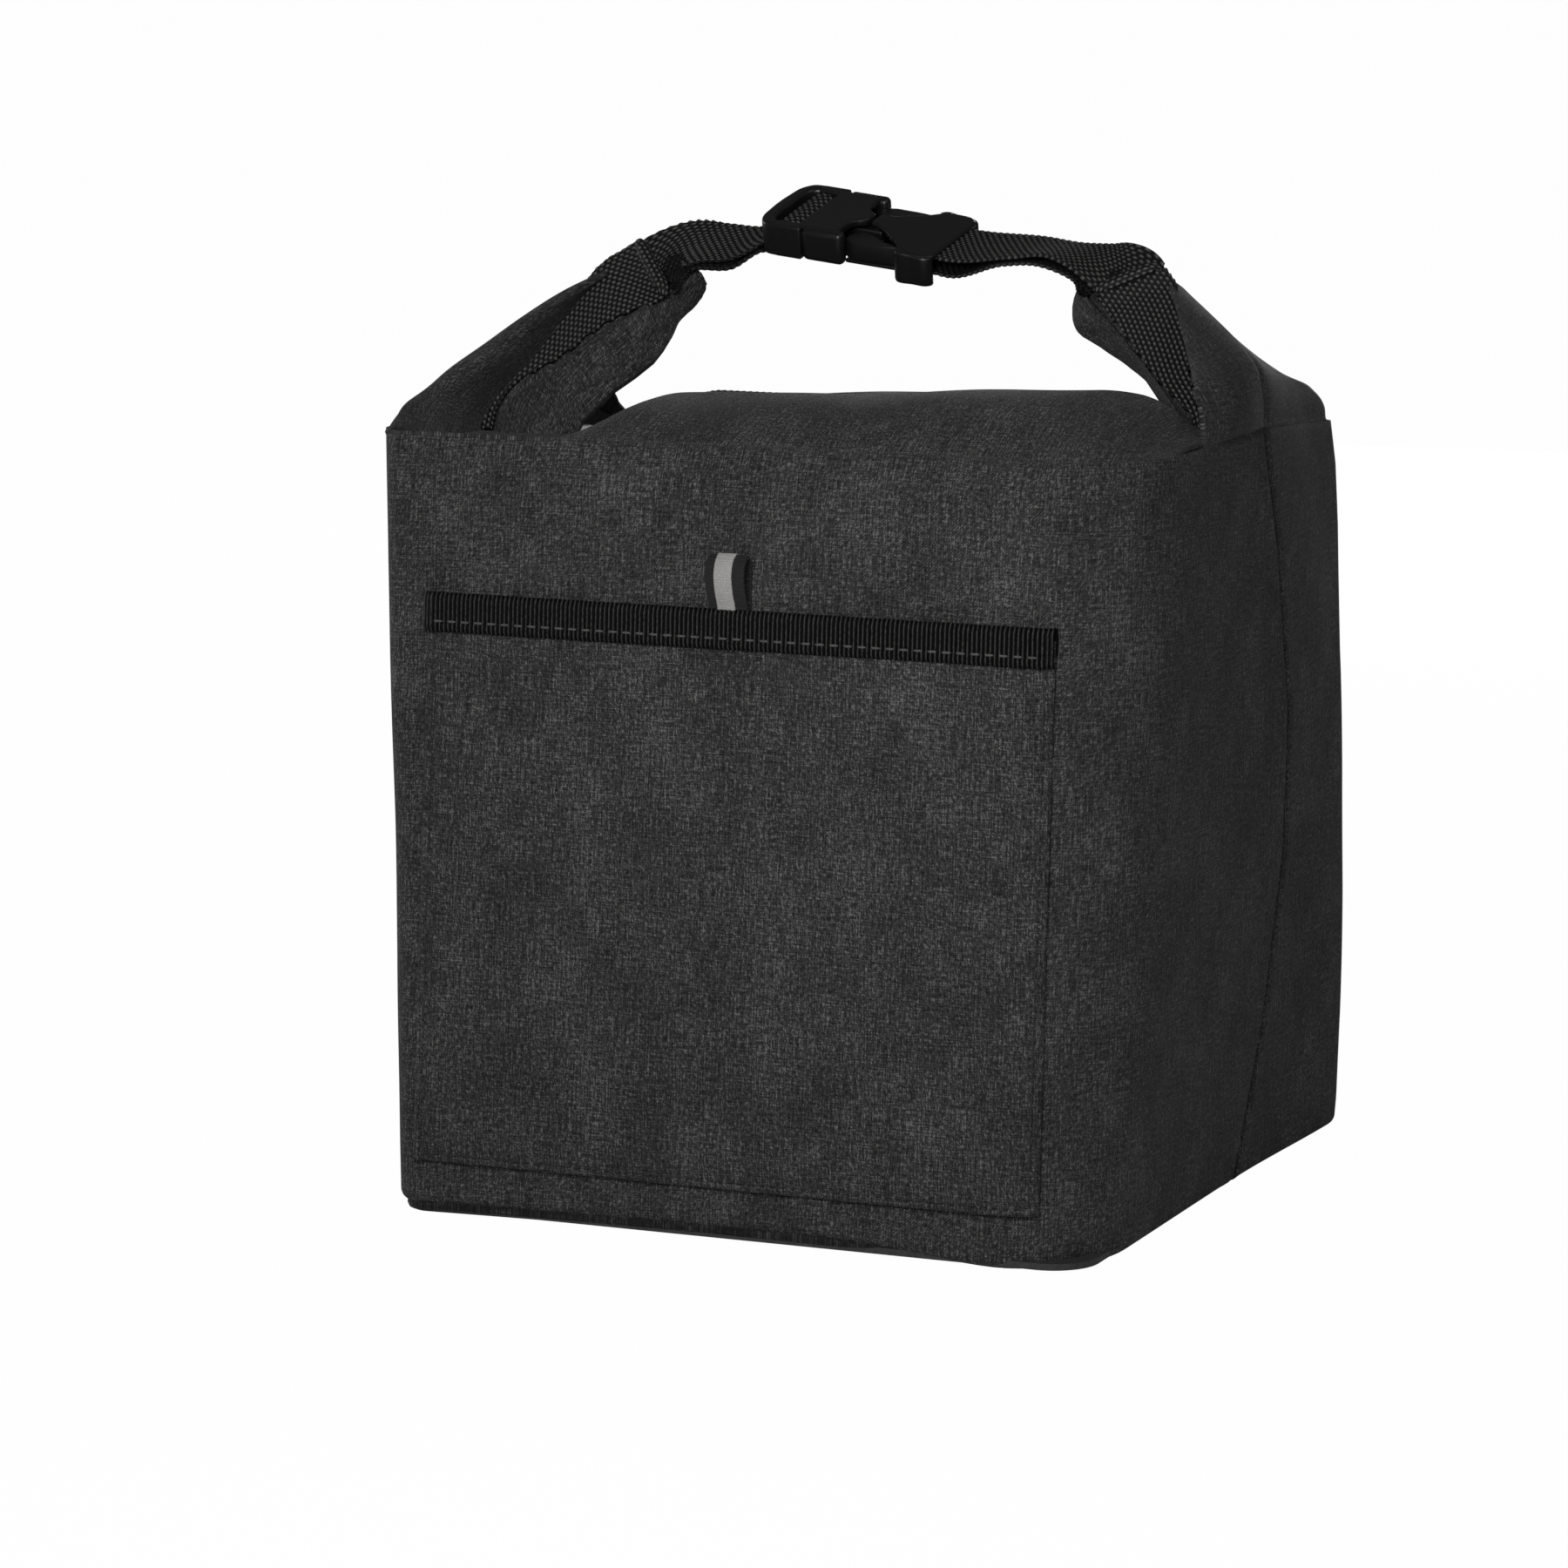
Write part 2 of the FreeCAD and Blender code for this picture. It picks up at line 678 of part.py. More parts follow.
def build():
    front_panel, back_panel = wall_halves()
    pieces = {"front_panel": front_panel, "back_panel": back_panel}
    pieces["bottom_panel"] = floor_plate(fabric + layer_gap, 0.0, fabric)
    pieces["base_board"] = floor_plate(foam_inset, board_low, board)
    pieces["foam_base"] = floor_plate(foam_inset, foam_low, foam)
    pieces["foam_front"] = foam_board(0.0, half_width, half_depth)
    pieces["foam_right"] = foam_board(90.0, half_depth, half_width)
    pieces["foam_back"] = foam_board(180.0, half_width, half_depth)
    pieces["foam_left"] = foam_board(270.0, half_depth, half_width)
    pieces["liner"] = liner_box()
    pieces["front_pocket"] = front_pocket()
    pieces["pocket_binding"] = pocket_binding()
    pieces["pull_loop"] = pull_loop()
    pieces["reflective_strip"] = reflective_strip()
    under = fabric + layer_gap
    pieces["front_flap"] = front_flap(0.0, fabric)
    pieces["front_flap_lining"] = front_flap(under, lining)
    pieces["back_flap"] = back_flap(0.0, fabric)
    pieces["back_flap_lining"] = back_flap(under, lining)
    pieces["rolled_mouth"] = rolled_mouth()
    pieces["mouth_webbing"] = mouth_webbing()
    for name, make in (("ear", ear), ("roll_end", roll_end), ("arm_webbing", arm_webbing)):
        shape = make()
        pieces["right_" + name] = shape
        pieces["left_" + name] = mirrored(shape)
    pieces["left_strap"] = strap(-1.0)
    pieces["right_strap"] = strap(1.0)
    pieces["buckle_socket"] = buckle_socket()
    pieces["buckle_plug"] = buckle_plug()
    pieces["front_prong"] = prong(-1.0)
    pieces["rear_prong"] = prong(1.0)
    return pieces


def main():
    os.makedirs("parts", exist_ok=True)
    for name, shape in build().items():
        shape.exportStep("parts/" + name + ".step")
        size = shape.BoundBox
        print(name, len(shape.Solids), shape.isValid(), round(shape.Volume), size)


main()
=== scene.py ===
# %% [markdown]
# This lesson dresses a soft, insulated lunch bag with a rolled top and a buckled carry handle.
# The imported CAD model is the frame: it fixes every size and every hinge, and the cloth is
# sewn over it here in metres. We load it first.

# %% Load the frame
import math

import bmesh
import bpy
import numpy as np
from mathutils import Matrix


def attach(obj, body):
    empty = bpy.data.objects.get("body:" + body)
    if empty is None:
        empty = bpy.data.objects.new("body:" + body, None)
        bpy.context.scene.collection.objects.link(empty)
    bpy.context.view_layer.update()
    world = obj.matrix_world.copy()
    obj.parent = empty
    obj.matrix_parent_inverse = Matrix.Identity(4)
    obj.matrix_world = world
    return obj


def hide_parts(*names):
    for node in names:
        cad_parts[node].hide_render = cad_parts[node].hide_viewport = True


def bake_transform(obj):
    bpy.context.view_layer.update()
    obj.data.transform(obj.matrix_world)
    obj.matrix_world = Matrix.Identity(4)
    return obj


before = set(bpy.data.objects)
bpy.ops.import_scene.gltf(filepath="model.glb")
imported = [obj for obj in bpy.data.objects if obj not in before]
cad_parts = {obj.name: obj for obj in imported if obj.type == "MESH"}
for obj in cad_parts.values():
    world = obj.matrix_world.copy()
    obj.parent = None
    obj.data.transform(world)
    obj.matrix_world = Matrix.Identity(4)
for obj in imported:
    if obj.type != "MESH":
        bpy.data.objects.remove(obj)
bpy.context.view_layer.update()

# %% [markdown]
# The photograph looks at the bag from the front right and slightly above, through a long lens.
# A camera could be placed by eye, but its angle and distance were solved from the bag's corners,
# so the numbers are set directly and the bag then falls where the photograph has it.

# %% Camera
AZIMUTH, ELEVATION, DISTANCE = math.radians(22.94), math.radians(9.70), 2.074
target = np.array([-0.0335, 0.0, 0.1204])
sight = np.array([
    -math.sin(AZIMUTH) * math.cos(ELEVATION),
    math.cos(AZIMUTH) * math.cos(ELEVATION),
    -math.sin(ELEVATION),
])
lens = bpy.data.cameras.new("photo_camera")
lens.lens, lens.sensor_width = 150.0, 36.0
camera = bpy.data.objects.new("photo_camera", lens)
bpy.context.collection.objects.link(camera)
camera.location = target - sight * DISTANCE
camera.rotation_euler = (math.pi / 2 - ELEVATION, 0.0, AZIMUTH)
bpy.context.scene.camera = camera
bpy.context.scene.view_settings.view_transform = "Standard"
print("camera at", [round(v, 4) for v in camera.location])

# %% [markdown]
# Studio light: a soft lamp close in front, others to the right, the rear and the left so that no
# side is lost in black, and an even pale world. A product shot like this one has no hard shadow,
# which a sun would throw, so every lamp is a wide disk. The floor is pale and keeps a faint
# shadow; the camera sees the world as plain white.

# %% Floor, lamps and world
def lamp(name, place, aim, size, power):
    """A soft round lamp at its place, turned to its aim."""
    light = bpy.data.lights.new(name, "AREA")
    light.shape, light.size, light.energy = "DISK", size, power
    holder = bpy.data.objects.new(name, light)
    bpy.context.collection.objects.link(holder)
    holder.location = place
    way = np.array(aim, float) - np.array(place, float)
    flat = math.hypot(way[0], way[1])
    holder.rotation_euler = (math.atan2(flat, -way[2]), 0.0, math.atan2(way[1], way[0]) - math.pi / 2)
    return holder


SOFT_LAMPS = {  # place, aim and width in metres, power in watts
    "front_softbox": ((0.12, -0.66, 0.46), (0.0, -0.05, 0.25), 0.34, 2.9),
    "right_softbox": ((1.3, -0.3, 1.5), (0.0, 0.0, 0.2), 1.0, 2.6),
    "rear_softbox": ((-0.3, 1.9, 0.35), (0.0, 0.0, 0.12), 1.0, 18.0),
    "left_softbox": ((-2.0, 0.3, 0.35), (0.0, 0.0, 0.12), 1.0, 9.0),
}
for name, (place, aim, size, power) in SOFT_LAMPS.items():
    lamp(name, place, aim, size, power)


def seen_directly(tree):
    """One for rays that only show the background: straight, or through clear plastic."""
    path = tree.nodes.new("ShaderNodeLightPath")
    any_ray = tree.nodes.new("ShaderNodeMath")
    any_ray.operation = "MAXIMUM"
    tree.links.new(path.outputs["Is Camera Ray"], any_ray.inputs[0])
    tree.links.new(path.outputs["Is Transmission Ray"], any_ray.inputs[1])
    return any_ray.outputs[0]


ROOM_LEVEL, FLOOR_HALF = 0.066, 9.0
PAPER_GREY, PAPER_ROUGH, PAPER_GLOW = 0.88, 0.9, 0.985

world = bpy.data.worlds.new("pale_room")
bpy.context.scene.world = world
world.use_nodes = True
room = world.node_tree
level = room.nodes.new("ShaderNodeMapRange")
level.inputs["To Min"].default_value = ROOM_LEVEL
level.inputs["To Max"].default_value = 1.0
room.links.new(seen_directly(room), level.inputs["Value"])
room.links.new(level.outputs[0], room.nodes["Background"].inputs["Strength"])
room.nodes["Background"].inputs["Color"].default_value = (1.0, 1.0, 1.0, 1.0)

floor_mesh = bpy.data.meshes.new("studio_floor")
floor_corners = [(x * FLOOR_HALF, y * FLOOR_HALF, 0.0) for x, y in ((-1, -1), (1, -1), (1, 1), (-1, 1))]
floor_mesh.from_pydata(floor_corners, [], [(0, 1, 2, 3)])
floor = bpy.data.objects.new("studio_floor", floor_mesh)
bpy.context.collection.objects.link(floor)
paper = bpy.data.materials.new("studio_paper")
paper.use_nodes = True
sheet_tree = paper.node_tree
sheet_shader = sheet_tree.nodes["Principled BSDF"]
sheet_shader.inputs["Base Color"].default_value = (PAPER_GREY, PAPER_GREY, PAPER_GREY, 1.0)
sheet_shader.inputs["Roughness"].default_value = PAPER_ROUGH
glow = sheet_tree.nodes.new("ShaderNodeEmission")
mixed = sheet_tree.nodes.new("ShaderNodeMixShader")
glow_share = sheet_tree.nodes.new("ShaderNodeMath")
glow_share.operation, glow_share.inputs[1].default_value = "MULTIPLY", PAPER_GLOW
sheet_tree.links.new(seen_directly(sheet_tree), glow_share.inputs[0])
sheet_tree.links.new(glow_share.outputs[0], mixed.inputs[0])
sheet_tree.links.new(sheet_shader.outputs[0], mixed.inputs[1])
sheet_tree.links.new(glow.outputs[0], mixed.inputs[2])
sheet_tree.links.new(mixed.outputs[0], sheet_tree.nodes["Material Output"].inputs[0])
floor.data.materials.append(paper)
print("lit by", len(SOFT_LAMPS), "soft lamps and the room")

# %% [markdown]
# Cloth finishes. The shell is a charcoal heather: dark and lighter yarns twisted together, woven
# in a fine twill, so it shows short flecks along both yarn directions. A picture of cloth could be
# wrapped on, but here stretched noises stand for the warp, the weft and their longer streaks, read
# from a map that is measured in metres along the cloth, so the weave keeps its size on every piece.

# %% Heather cloth
def stretched_noise(tree, across, along, detail=2.0, shift=0.0, lean=0.0):
    """Noise on the cloth's map, with so many cells to the metre across and along it."""
    where = tree.nodes.new("ShaderNodeUVMap")
    where.uv_map = "cloth"
    stretch = tree.nodes.new("ShaderNodeMapping")
    stretch.inputs["Scale"].default_value = (across, along, 1.0)
    stretch.inputs["Location"].default_value = (shift, shift, 0.0)
    if lean:
        turn = tree.nodes.new("ShaderNodeMapping")
        turn.inputs["Rotation"].default_value = (0.0, 0.0, lean)
        tree.links.new(where.outputs[0], turn.inputs["Vector"])
        where = turn
    grain = tree.nodes.new("ShaderNodeTexNoise")
    grain.noise_dimensions = "2D"
    grain.inputs["Scale"].default_value = 1.0
    grain.inputs["Detail"].default_value = detail
    tree.links.new(where.outputs[0], stretch.inputs["Vector"])
    tree.links.new(stretch.outputs[0], grain.inputs["Vector"])
    return grain.outputs["Fac"]


def twill_lines(tree, pitch):
    """Fine slanting ribs, pitch metres apart."""
    where = tree.nodes.new("ShaderNodeUVMap")
    where.uv_map = "cloth"
    lines = tree.nodes.new("ShaderNodeTexWave")
    lines.bands_direction = "DIAGONAL"
    lines.inputs["Scale"].default_value = 2.0 * math.pi / (10.0 * pitch)
    lines.inputs["Distortion"].default_value = 0.6
    tree.links.new(where.outputs[0], lines.inputs["Vector"])
    return lines.outputs["Fac"]


def weighed(tree, parts):
    """Adds sockets together, each with its own weight."""
    total = None
    for socket, weight in parts:
        node = tree.nodes.new("ShaderNodeMath")
        node.operation = "MULTIPLY_ADD"
        node.inputs[1].default_value = weight
        tree.links.new(socket, node.inputs[0])
        if total is None:
            node.inputs[2].default_value = 0.0
        else:
            tree.links.new(total, node.inputs[2])
        total = node.outputs[0]
    return total


def ramp(tree, socket, stops):
    node = tree.nodes.new("ShaderNodeValToRGB")
    node.color_ramp.elements.remove(node.color_ramp.elements[1])
    for k, (place, colour) in enumerate(stops):
        stop = node.color_ramp.elements[0] if k == 0 else node.color_ramp.elements.new(place)
        stop.position, stop.color = place, (*colour, 1.0)
    tree.links.new(socket, node.inputs[0])
    return node.outputs[0]


def tinted(shade, tint):
    return tuple(shade * t for t in tint)


def finish_of(name, colour, height, roughness, depth, strength=0.7):
    """A material from a colour socket, a height socket for the bump and a plain roughness."""
    material = bpy.data.materials.get(name)
    shader = material.node_tree.nodes["Principled BSDF"]
    bump = material.node_tree.nodes.new("ShaderNodeBump")
    bump.inputs["Distance"].default_value = depth
    bump.inputs["Strength"].default_value = strength
    material.node_tree.links.new(height, bump.inputs["Height"])
    material.node_tree.links.new(bump.outputs[0], shader.inputs["Normal"])
    material.node_tree.links.new(colour, shader.inputs["Base Color"])
    shader.inputs["Roughness"].default_value = roughness
    return material


def blank(name):
    material = bpy.data.materials.new(name)
    material.use_nodes = True
    return material.node_tree


YARN_FINE, YARN_LONG, TWILL = 2300.0, 640.0, 0.00095


def heather(name, shade, tint=(1.0, 0.985, 0.98), sheen=0.04):
    """Cloth of dark and light yarns: crossed flecks, long streaks, faint clouds and a twill line."""
    tree = blank(name)
    warp = stretched_noise(tree, YARN_FINE, YARN_LONG, 3.0)
    weft = stretched_noise(tree, YARN_LONG, YARN_FINE, 3.0, 7.3)
    twist = stretched_noise(tree, 2300.0, 620.0, 2.0, 4.4, math.radians(-28.0))
    streak = stretched_noise(tree, 2200.0, 95.0, 2.0, 3.1)
    cross = stretched_noise(tree, 110.0, 2200.0, 2.0, 5.9)
    cloud = stretched_noise(tree, 45.0, 30.0, 2.0, 1.7)
    lines = twill_lines(tree, TWILL)
    yarns = weighed(tree, [
        (warp, 0.25), (weft, 0.19), (twist, 0.16), (streak, 0.19),
        (cross, 0.14), (cloud, 0.07), (lines, 0.04),
    ])
    colour = ramp(tree, yarns, [
        (0.42, tinted(shade * 0.16, tint)),
        (0.50, tinted(shade * 0.72, tint)),
        (0.555, tinted(shade * 1.5, tint)),
        (0.62, tinted(shade * 4.6, tint)),
    ])
    height = weighed(tree, [(warp, 0.5), (weft, 0.4), (lines, 0.35)])
    made = finish_of(name, colour, height, 0.86, 0.0004)
    shader = tree.nodes["Principled BSDF"]
    shader.inputs["Sheen Weight"].default_value = sheen
    shader.inputs["Sheen Roughness"].default_value = 0.45
    shader.inputs["Specular IOR Level"].default_value = 0.25
    return made


shell_cloth = heather("charcoal_heather", 0.0335)
base_cloth = heather("base_cloth", 0.012, sheen=0.05)
print("cloth finishes:", shell_cloth.name, base_cloth.name)

# %% [markdown]
# The other finishes: black webbing and ribbed tape, whose ribs and weave are real geometry further
# on, while here their crowns get a painted highlight and the gaps between them painted shade, on
# the same pitch; the silvery lining; foam; the stiff base board; and the near-black moulded
# plastic of the buckle, with a fine grain.

# %% Webbing, tape, lining, foam, board and plastic
def yarn(name, shade, spread, roughness, tint=(1.0, 0.98, 0.97)):
    """A plain thread or film: one shade with a fine grain."""
    tree = blank(name)
    fine = stretched_noise(tree, 2600.0, 900.0, 3.0)
    broad = stretched_noise(tree, 160.0, 60.0, shift=2.2)
    mix = weighed(tree, [(fine, 0.7), (broad, 0.3)])
    colour = ramp(tree, mix, [
        (0.34, tinted(shade * (1.0 - spread), tint)),
        (0.52, tinted(shade, tint)),
        (0.68, tinted(shade * (1.0 + 2.2 * spread), tint)),
    ])
    made = finish_of(name, colour, fine, roughness, 0.0002)
    tree.nodes["Principled BSDF"].inputs["Sheen Weight"].default_value = 0.10
    tree.nodes["Principled BSDF"].inputs["Specular IOR Level"].default_value = 0.35
    return made


def solid_grain(name, shade, tint, scale, spread, roughness, depth, specular=0.5):
    """A moulded or foamed solid, with a grain of scale cells to the metre."""
    tree = blank(name)
    where = tree.nodes.new("ShaderNodeTexCoord")
    grain = tree.nodes.new("ShaderNodeTexNoise")
    grain.inputs["Scale"].default_value = scale
    grain.inputs["Detail"].default_value = 3.0
    tree.links.new(where.outputs["Object"], grain.inputs["Vector"])
    colour = ramp(tree, grain.outputs["Fac"], [
        (0.3, tinted(shade * (1.0 - spread), tint)),
        (0.7, tinted(shade * (1.0 + spread), tint)),
    ])
    made = finish_of(name, colour, grain.outputs["Fac"], roughness, depth)
    tree.nodes["Principled BSDF"].inputs["Specular IOR Level"].default_value = specular
    return made


def wave_of(tree, socket, pitch, shift=None):
    """Half waves of one pitch along one direction of the map: 0 between the cells, 1 on them."""
    turn = tree.nodes.new("ShaderNodeMath")
    turn.operation, turn.inputs[1].default_value = "MULTIPLY", math.pi / pitch
    tree.links.new(socket, turn.inputs[0])
    angle = turn.outputs[0]
    if shift is not None:
        angle = weighed(tree, [(angle, 1.0), (shift, math.pi / 2)])
    for kind in ("SINE", "ABSOLUTE"):
        step = tree.nodes.new("ShaderNodeMath")
        step.operation = kind
        tree.links.new(angle, step.inputs[0])
        angle = step.outputs[0]
    return angle


BLACK_TINT = (1.0, 0.98, 0.96)


def woven_yarn(name, shade, across, along=None, highlight_stops=(0.30, 0.56, 0.74, 0.95), specular=0.3):
    """Dark yarn with a painted highlight on its crowns and painted shade between them: staggered cells if
    along is given, otherwise plain ribs.
    """
    tree = blank(name)
    where = tree.nodes.new("ShaderNodeUVMap")
    where.uv_map = "cloth"
    parts = tree.nodes.new("ShaderNodeSeparateXYZ")
    tree.links.new(where.outputs[0], parts.inputs[0])
    crown = wave_of(tree, parts.outputs[0], across)
    if along:
        row = weighed(tree, [(parts.outputs[0], 1.0 / across)])
        for kind, value in (("FLOOR", 0.0), ("FLOORED_MODULO", 2.0)):
            step = tree.nodes.new("ShaderNodeMath")
            step.operation, step.inputs[1].default_value = kind, value
            tree.links.new(row, step.inputs[0])
            row = step.outputs[0]
        both = tree.nodes.new("ShaderNodeMath")
        both.operation = "MULTIPLY"
        tree.links.new(crown, both.inputs[0])
        tree.links.new(wave_of(tree, parts.outputs[1], along, row), both.inputs[1])
        crown = both.outputs[0]
    fine = stretched_noise(tree, 2600.0, 900.0, 3.0)
    mix = weighed(tree, [(crown, 0.8), (fine, 0.4)])
    # shares run from painted shade in the gaps between crowns to a painted highlight on the crowns
    shares = (0.06, 0.42, 1.8, 5.0)
    colour = ramp(tree, mix, [(crown, tinted(shade * s, BLACK_TINT)) for crown, s in zip(highlight_stops, shares)])
    made = finish_of(name, colour, mix, 0.62, 0.0004)
    tree.nodes["Principled BSDF"].inputs["Specular IOR Level"].default_value = specular
    return made


MM, PER_METRE = 0.001, 1000.0
CELL_ACROSS, CELL_ALONG, RIB = 1.5, 2.2, 1.45  # mm
# Both tapes get a painted highlight on their crowns and painted shade between them
webbing_yarn = woven_yarn("webbing_yarn", 0.024, CELL_ACROSS * MM, CELL_ALONG * MM)
tape_yarn = woven_yarn("tape_yarn", 0.009, RIB * MM, highlight_stops=(0.62, 0.84, 0.93, 1.0), specular=0.12)
ribbon_yarn = yarn("ribbon_yarn", 0.006, 0.5, 0.7)
thread = yarn("grey_thread", 0.075, 0.3, 0.8)
dark_thread = yarn("dark_thread", 0.020, 0.3, 0.8)
reflector = yarn("reflective_strip_yarn", 0.33, 0.10, 0.45, (1.0, 0.98, 0.95))
lining_film = yarn("lining_film", 0.34, 0.12, 0.42, (0.98, 1.0, 1.02))
pad_foam = solid_grain("pad_foam", 0.5, (0.98, 1.0, 1.0), 1400.0, 0.2, 0.95, 0.0006)
stiff_board = solid_grain("stiff_board", 0.03, (1.0, 1.0, 1.05), 700.0, 0.3, 0.6, 0.0003)
buckle_plastic = solid_grain("buckle_plastic", 0.0024, (1.0, 1.0, 1.02), 2600.0, 0.25, 0.34, 0.00005, 0.13)
print("finishes:", len(bpy.data.materials))

# %% [markdown]
# All cloth here is a grid of points in millimetres, because a sewn bag is a set of panels and a
# panel has two yarn directions. The helper turns a grid into a mesh with a map in metres, gives
# it a real thickness, and leaves nothing to evaluate later, so that it can bend at a hinge.

# %% Cloth from a grid of points
def grid_lengths(points):
    """How far each point lies along the cloth: across from the middle column, along from the start."""
    across = np.linalg.norm(np.diff(points, axis=1), axis=2)
    along = np.linalg.norm(np.diff(points, axis=0), axis=2)
    u = np.concatenate([np.zeros((len(points), 1)), np.cumsum(across, axis=1)], axis=1)
    v = np.concatenate([np.zeros((1, points.shape[1])), np.cumsum(along, axis=0)], axis=0)
    return u - u[:, [u.shape[1] // 2]], v


def grid_normals(points):
    n = np.cross(np.gradient(points, axis=1), np.gradient(points, axis=0))
    return n / np.maximum(np.linalg.norm(n, axis=2, keepdims=True), 1e-9)


def finished(piece):
    """Applies the piece's modifiers, so that its mesh is final."""
    bpy.context.view_layer.update()
    done = bpy.data.meshes.new_from_object(piece.evaluated_get(bpy.context.evaluated_depsgraph_get()))
    piece.modifiers.clear()
    piece.data = done
    return piece


def mesh_piece(name, points, faces, maps=None):
    mesh = bpy.data.meshes.new(name)
    mesh.from_pydata((np.asarray(points, float) * MM).tolist(), [], faces)
    if maps is not None:
        layer = mesh.uv_layers.new(name="cloth")
        corners = np.zeros(len(mesh.loops), int)
        mesh.loops.foreach_get("vertex_index", corners)
        layer.data.foreach_set("uv", (np.asarray(maps, float) * MM)[corners].ravel())
    mesh.polygons.foreach_set("use_smooth", [True] * len(mesh.polygons))
    mesh.update()
    piece = bpy.data.objects.new(name, mesh)
    bpy.context.collection.objects.link(piece)
    return piece


def cloth(name, points, outward, thickness=0.0, closed=False, turn_map=False, plain=None):
    """A cloth piece from a grid (rows, columns, 3) in mm. outward is where its face looks, and
    plain is the grid to measure the map on, if the points are lifted into a weave."""
    points = np.asarray(points, float)
    rows, columns = points.shape[:2]
    u, v = grid_lengths(points if plain is None else plain)
    if plain is not None:
        v = v[:, [columns // 2]] + 0.0 * v
    if turn_map:
        u, v = v, u
    index = np.arange(rows * columns).reshape(rows, columns)
    right = np.roll(index, -1, axis=1) if closed else index[:, 1:]
    left = index if closed else index[:, :-1]
    faces = np.stack([left[:-1], right[:-1], right[1:], left[1:]], axis=-1).reshape(-1, 4)
    middle = grid_normals(points)[rows // 2, columns // 2]
    if np.dot(middle, outward) < 0:
        faces = faces[:, ::-1]
    maps = np.stack([u, v], axis=-1).reshape(-1, 2)
    piece = mesh_piece(name, points.reshape(-1, 3), faces.tolist(), maps)
    if thickness:
        shell = piece.modifiers.new("thickness", "SOLIDIFY")
        shell.thickness, shell.offset = thickness * MM, -1.0
        finished(piece)
    return piece


def smooth(t):
    t = np.clip(t, 0.0, 1.0)
    return t * t * (3.0 - 2.0 * t)


def line_through(knots, t):
    """Points at the shares t of a smooth line through the knots."""
    knots = np.asarray(knots, float)
    step = np.linalg.norm(np.diff(knots[:, :3], axis=0), axis=1)
    place = np.concatenate([[0.0], np.cumsum(step)]) / step.sum()
    lean = np.gradient(knots, place, axis=0)
    t = np.atleast_1d(np.asarray(t, float))
    k = np.clip(np.searchsorted(place, t, side="right") - 1, 0, len(place) - 2)
    span = (place[k + 1] - place[k])[:, None]
    s = (t[:, None] - place[k][:, None]) / span
    a, b = 2 * s**3 - 3 * s**2 + 1, s**3 - 2 * s**2 + s
    return a * knots[k] + b * span * lean[k] + (1 - a) * knots[k + 1] + (s**3 - s**2) * span * lean[k + 1]


def wear(piece, material, slot, body, *nodes):
    """Gives a piece its finish and lets it ride on one body, in place of those CAD nodes."""
    piece.data.materials.clear()
    piece.data.materials.append(material)
    if body:
        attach(piece, body)
    if nodes:
        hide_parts(*nodes)
    return piece


print("cloth helpers ready")

# %% [markdown]
# The shell. On the real bag one long panel wraps the front and half of each side, another wraps
# the back, and they meet in a seam down the middle of each side. A box would show hard edges, so
# each half is lofted: rounded corners, walls that lean in towards the top, a little slack between
# the seams and an edge that rolls under at the bottom.

# %% Shell panels
BAG_HIGH = 240.0  # mm from the floor to the rim
HALF_LOW, HALF_TOP = 113.0, 123.0  # half the width at the floor and at the rim
DEEP_LOW, DEEP_TOP = 119.0, 99.0  # half the depth at the floor and at the rim
CORNER, SHARP_CORNER, BACK_CORNERS = 34.0, 8.0, (14.0, 16.0)  # front right, front left, back pair
INNER_CORNER, RIM_CORNER = 10.0, 20.0  # front left inside the shell, and the back rim's two
SHELL_THICK = 1.3
RIM_FADE, BACK_BULGE, BACK_SAG = 45.0, 4.0, 12.0
RIM_SINK, SHOULDER_LEAN = 7.0, 5.5

# How far the walls stand off an even box: heights, and the distance at each
LEFT_FLARE = [0, 20, 40, 80, 120, 160, 200, 240], [1.4, 1.6, 1.5, 1.5, 1.9, 2.7, 3.5, 4.0]
REAR_FLARE = [0, 10, 40, 80, 120, 160, 200, 220, 240], [3.0, 3.4, 3.0, 2.0, 0.4, -1.4, -2.4, -3.4, -6.0]
NOSE_FLARE = [0, 40, 120, 240], [0.6, 0.6, 0.3, 0.0]
SEAM_BOW = [0, 50, 100, 150, 200, 240], [16.0, 34.0, 44.0, 42.0, 26.0, 8.0]


def half_width(z):
    return HALF_LOW + (HALF_TOP - HALF_LOW) * z / BAG_HIGH


def half_depth(z):
    return DEEP_LOW + (DEEP_TOP - DEEP_LOW) * z / BAG_HIGH


def settled(points):
    """Moves the box's points to the bag's true outline, which is not quite even at its corners."""
    moved = np.array(points, float)
    x, y, z = moved[..., 0], moved[..., 1], moved[..., 2]
    level, fade = np.clip(z, 0.0, BAG_HIGH), 1.0 - smooth((z - BAG_HIGH) / RIM_FADE)
    reach = np.clip(np.abs(x) / half_width(level), 0.0, 1.1) ** 3 * fade
    front, back = smooth(-y / half_depth(level)), smooth(y / half_depth(level))
    left, rear, nose = (np.interp(level, *flare) for flare in (LEFT_FLARE, REAR_FLARE, NOSE_FLARE))
    moved[..., 0] += np.where(x > 0, rear * back + nose * front, -left * front) * reach
    moved[..., 1] += BACK_BULGE * np.sin(np.pi * level / BAG_HIGH) * smooth((y - 60.0) / 50.0) * fade
    bow = np.interp(level, *SEAM_BOW) * fade
    on_side = smooth((np.abs(x) / half_width(level) - 0.6) / 0.35)
    moved[..., 1] += bow * on_side * (1.0 - np.clip(y / half_depth(level), -1.0, 1.0) ** 2) ** 2
    sag = BACK_SAG * smooth((-x - 20.0) / 85.0) * smooth((y - 20.0) / 75.0)
    moved[..., 2] -= sag * smooth((z - 150.0) / 80.0)
    return moved


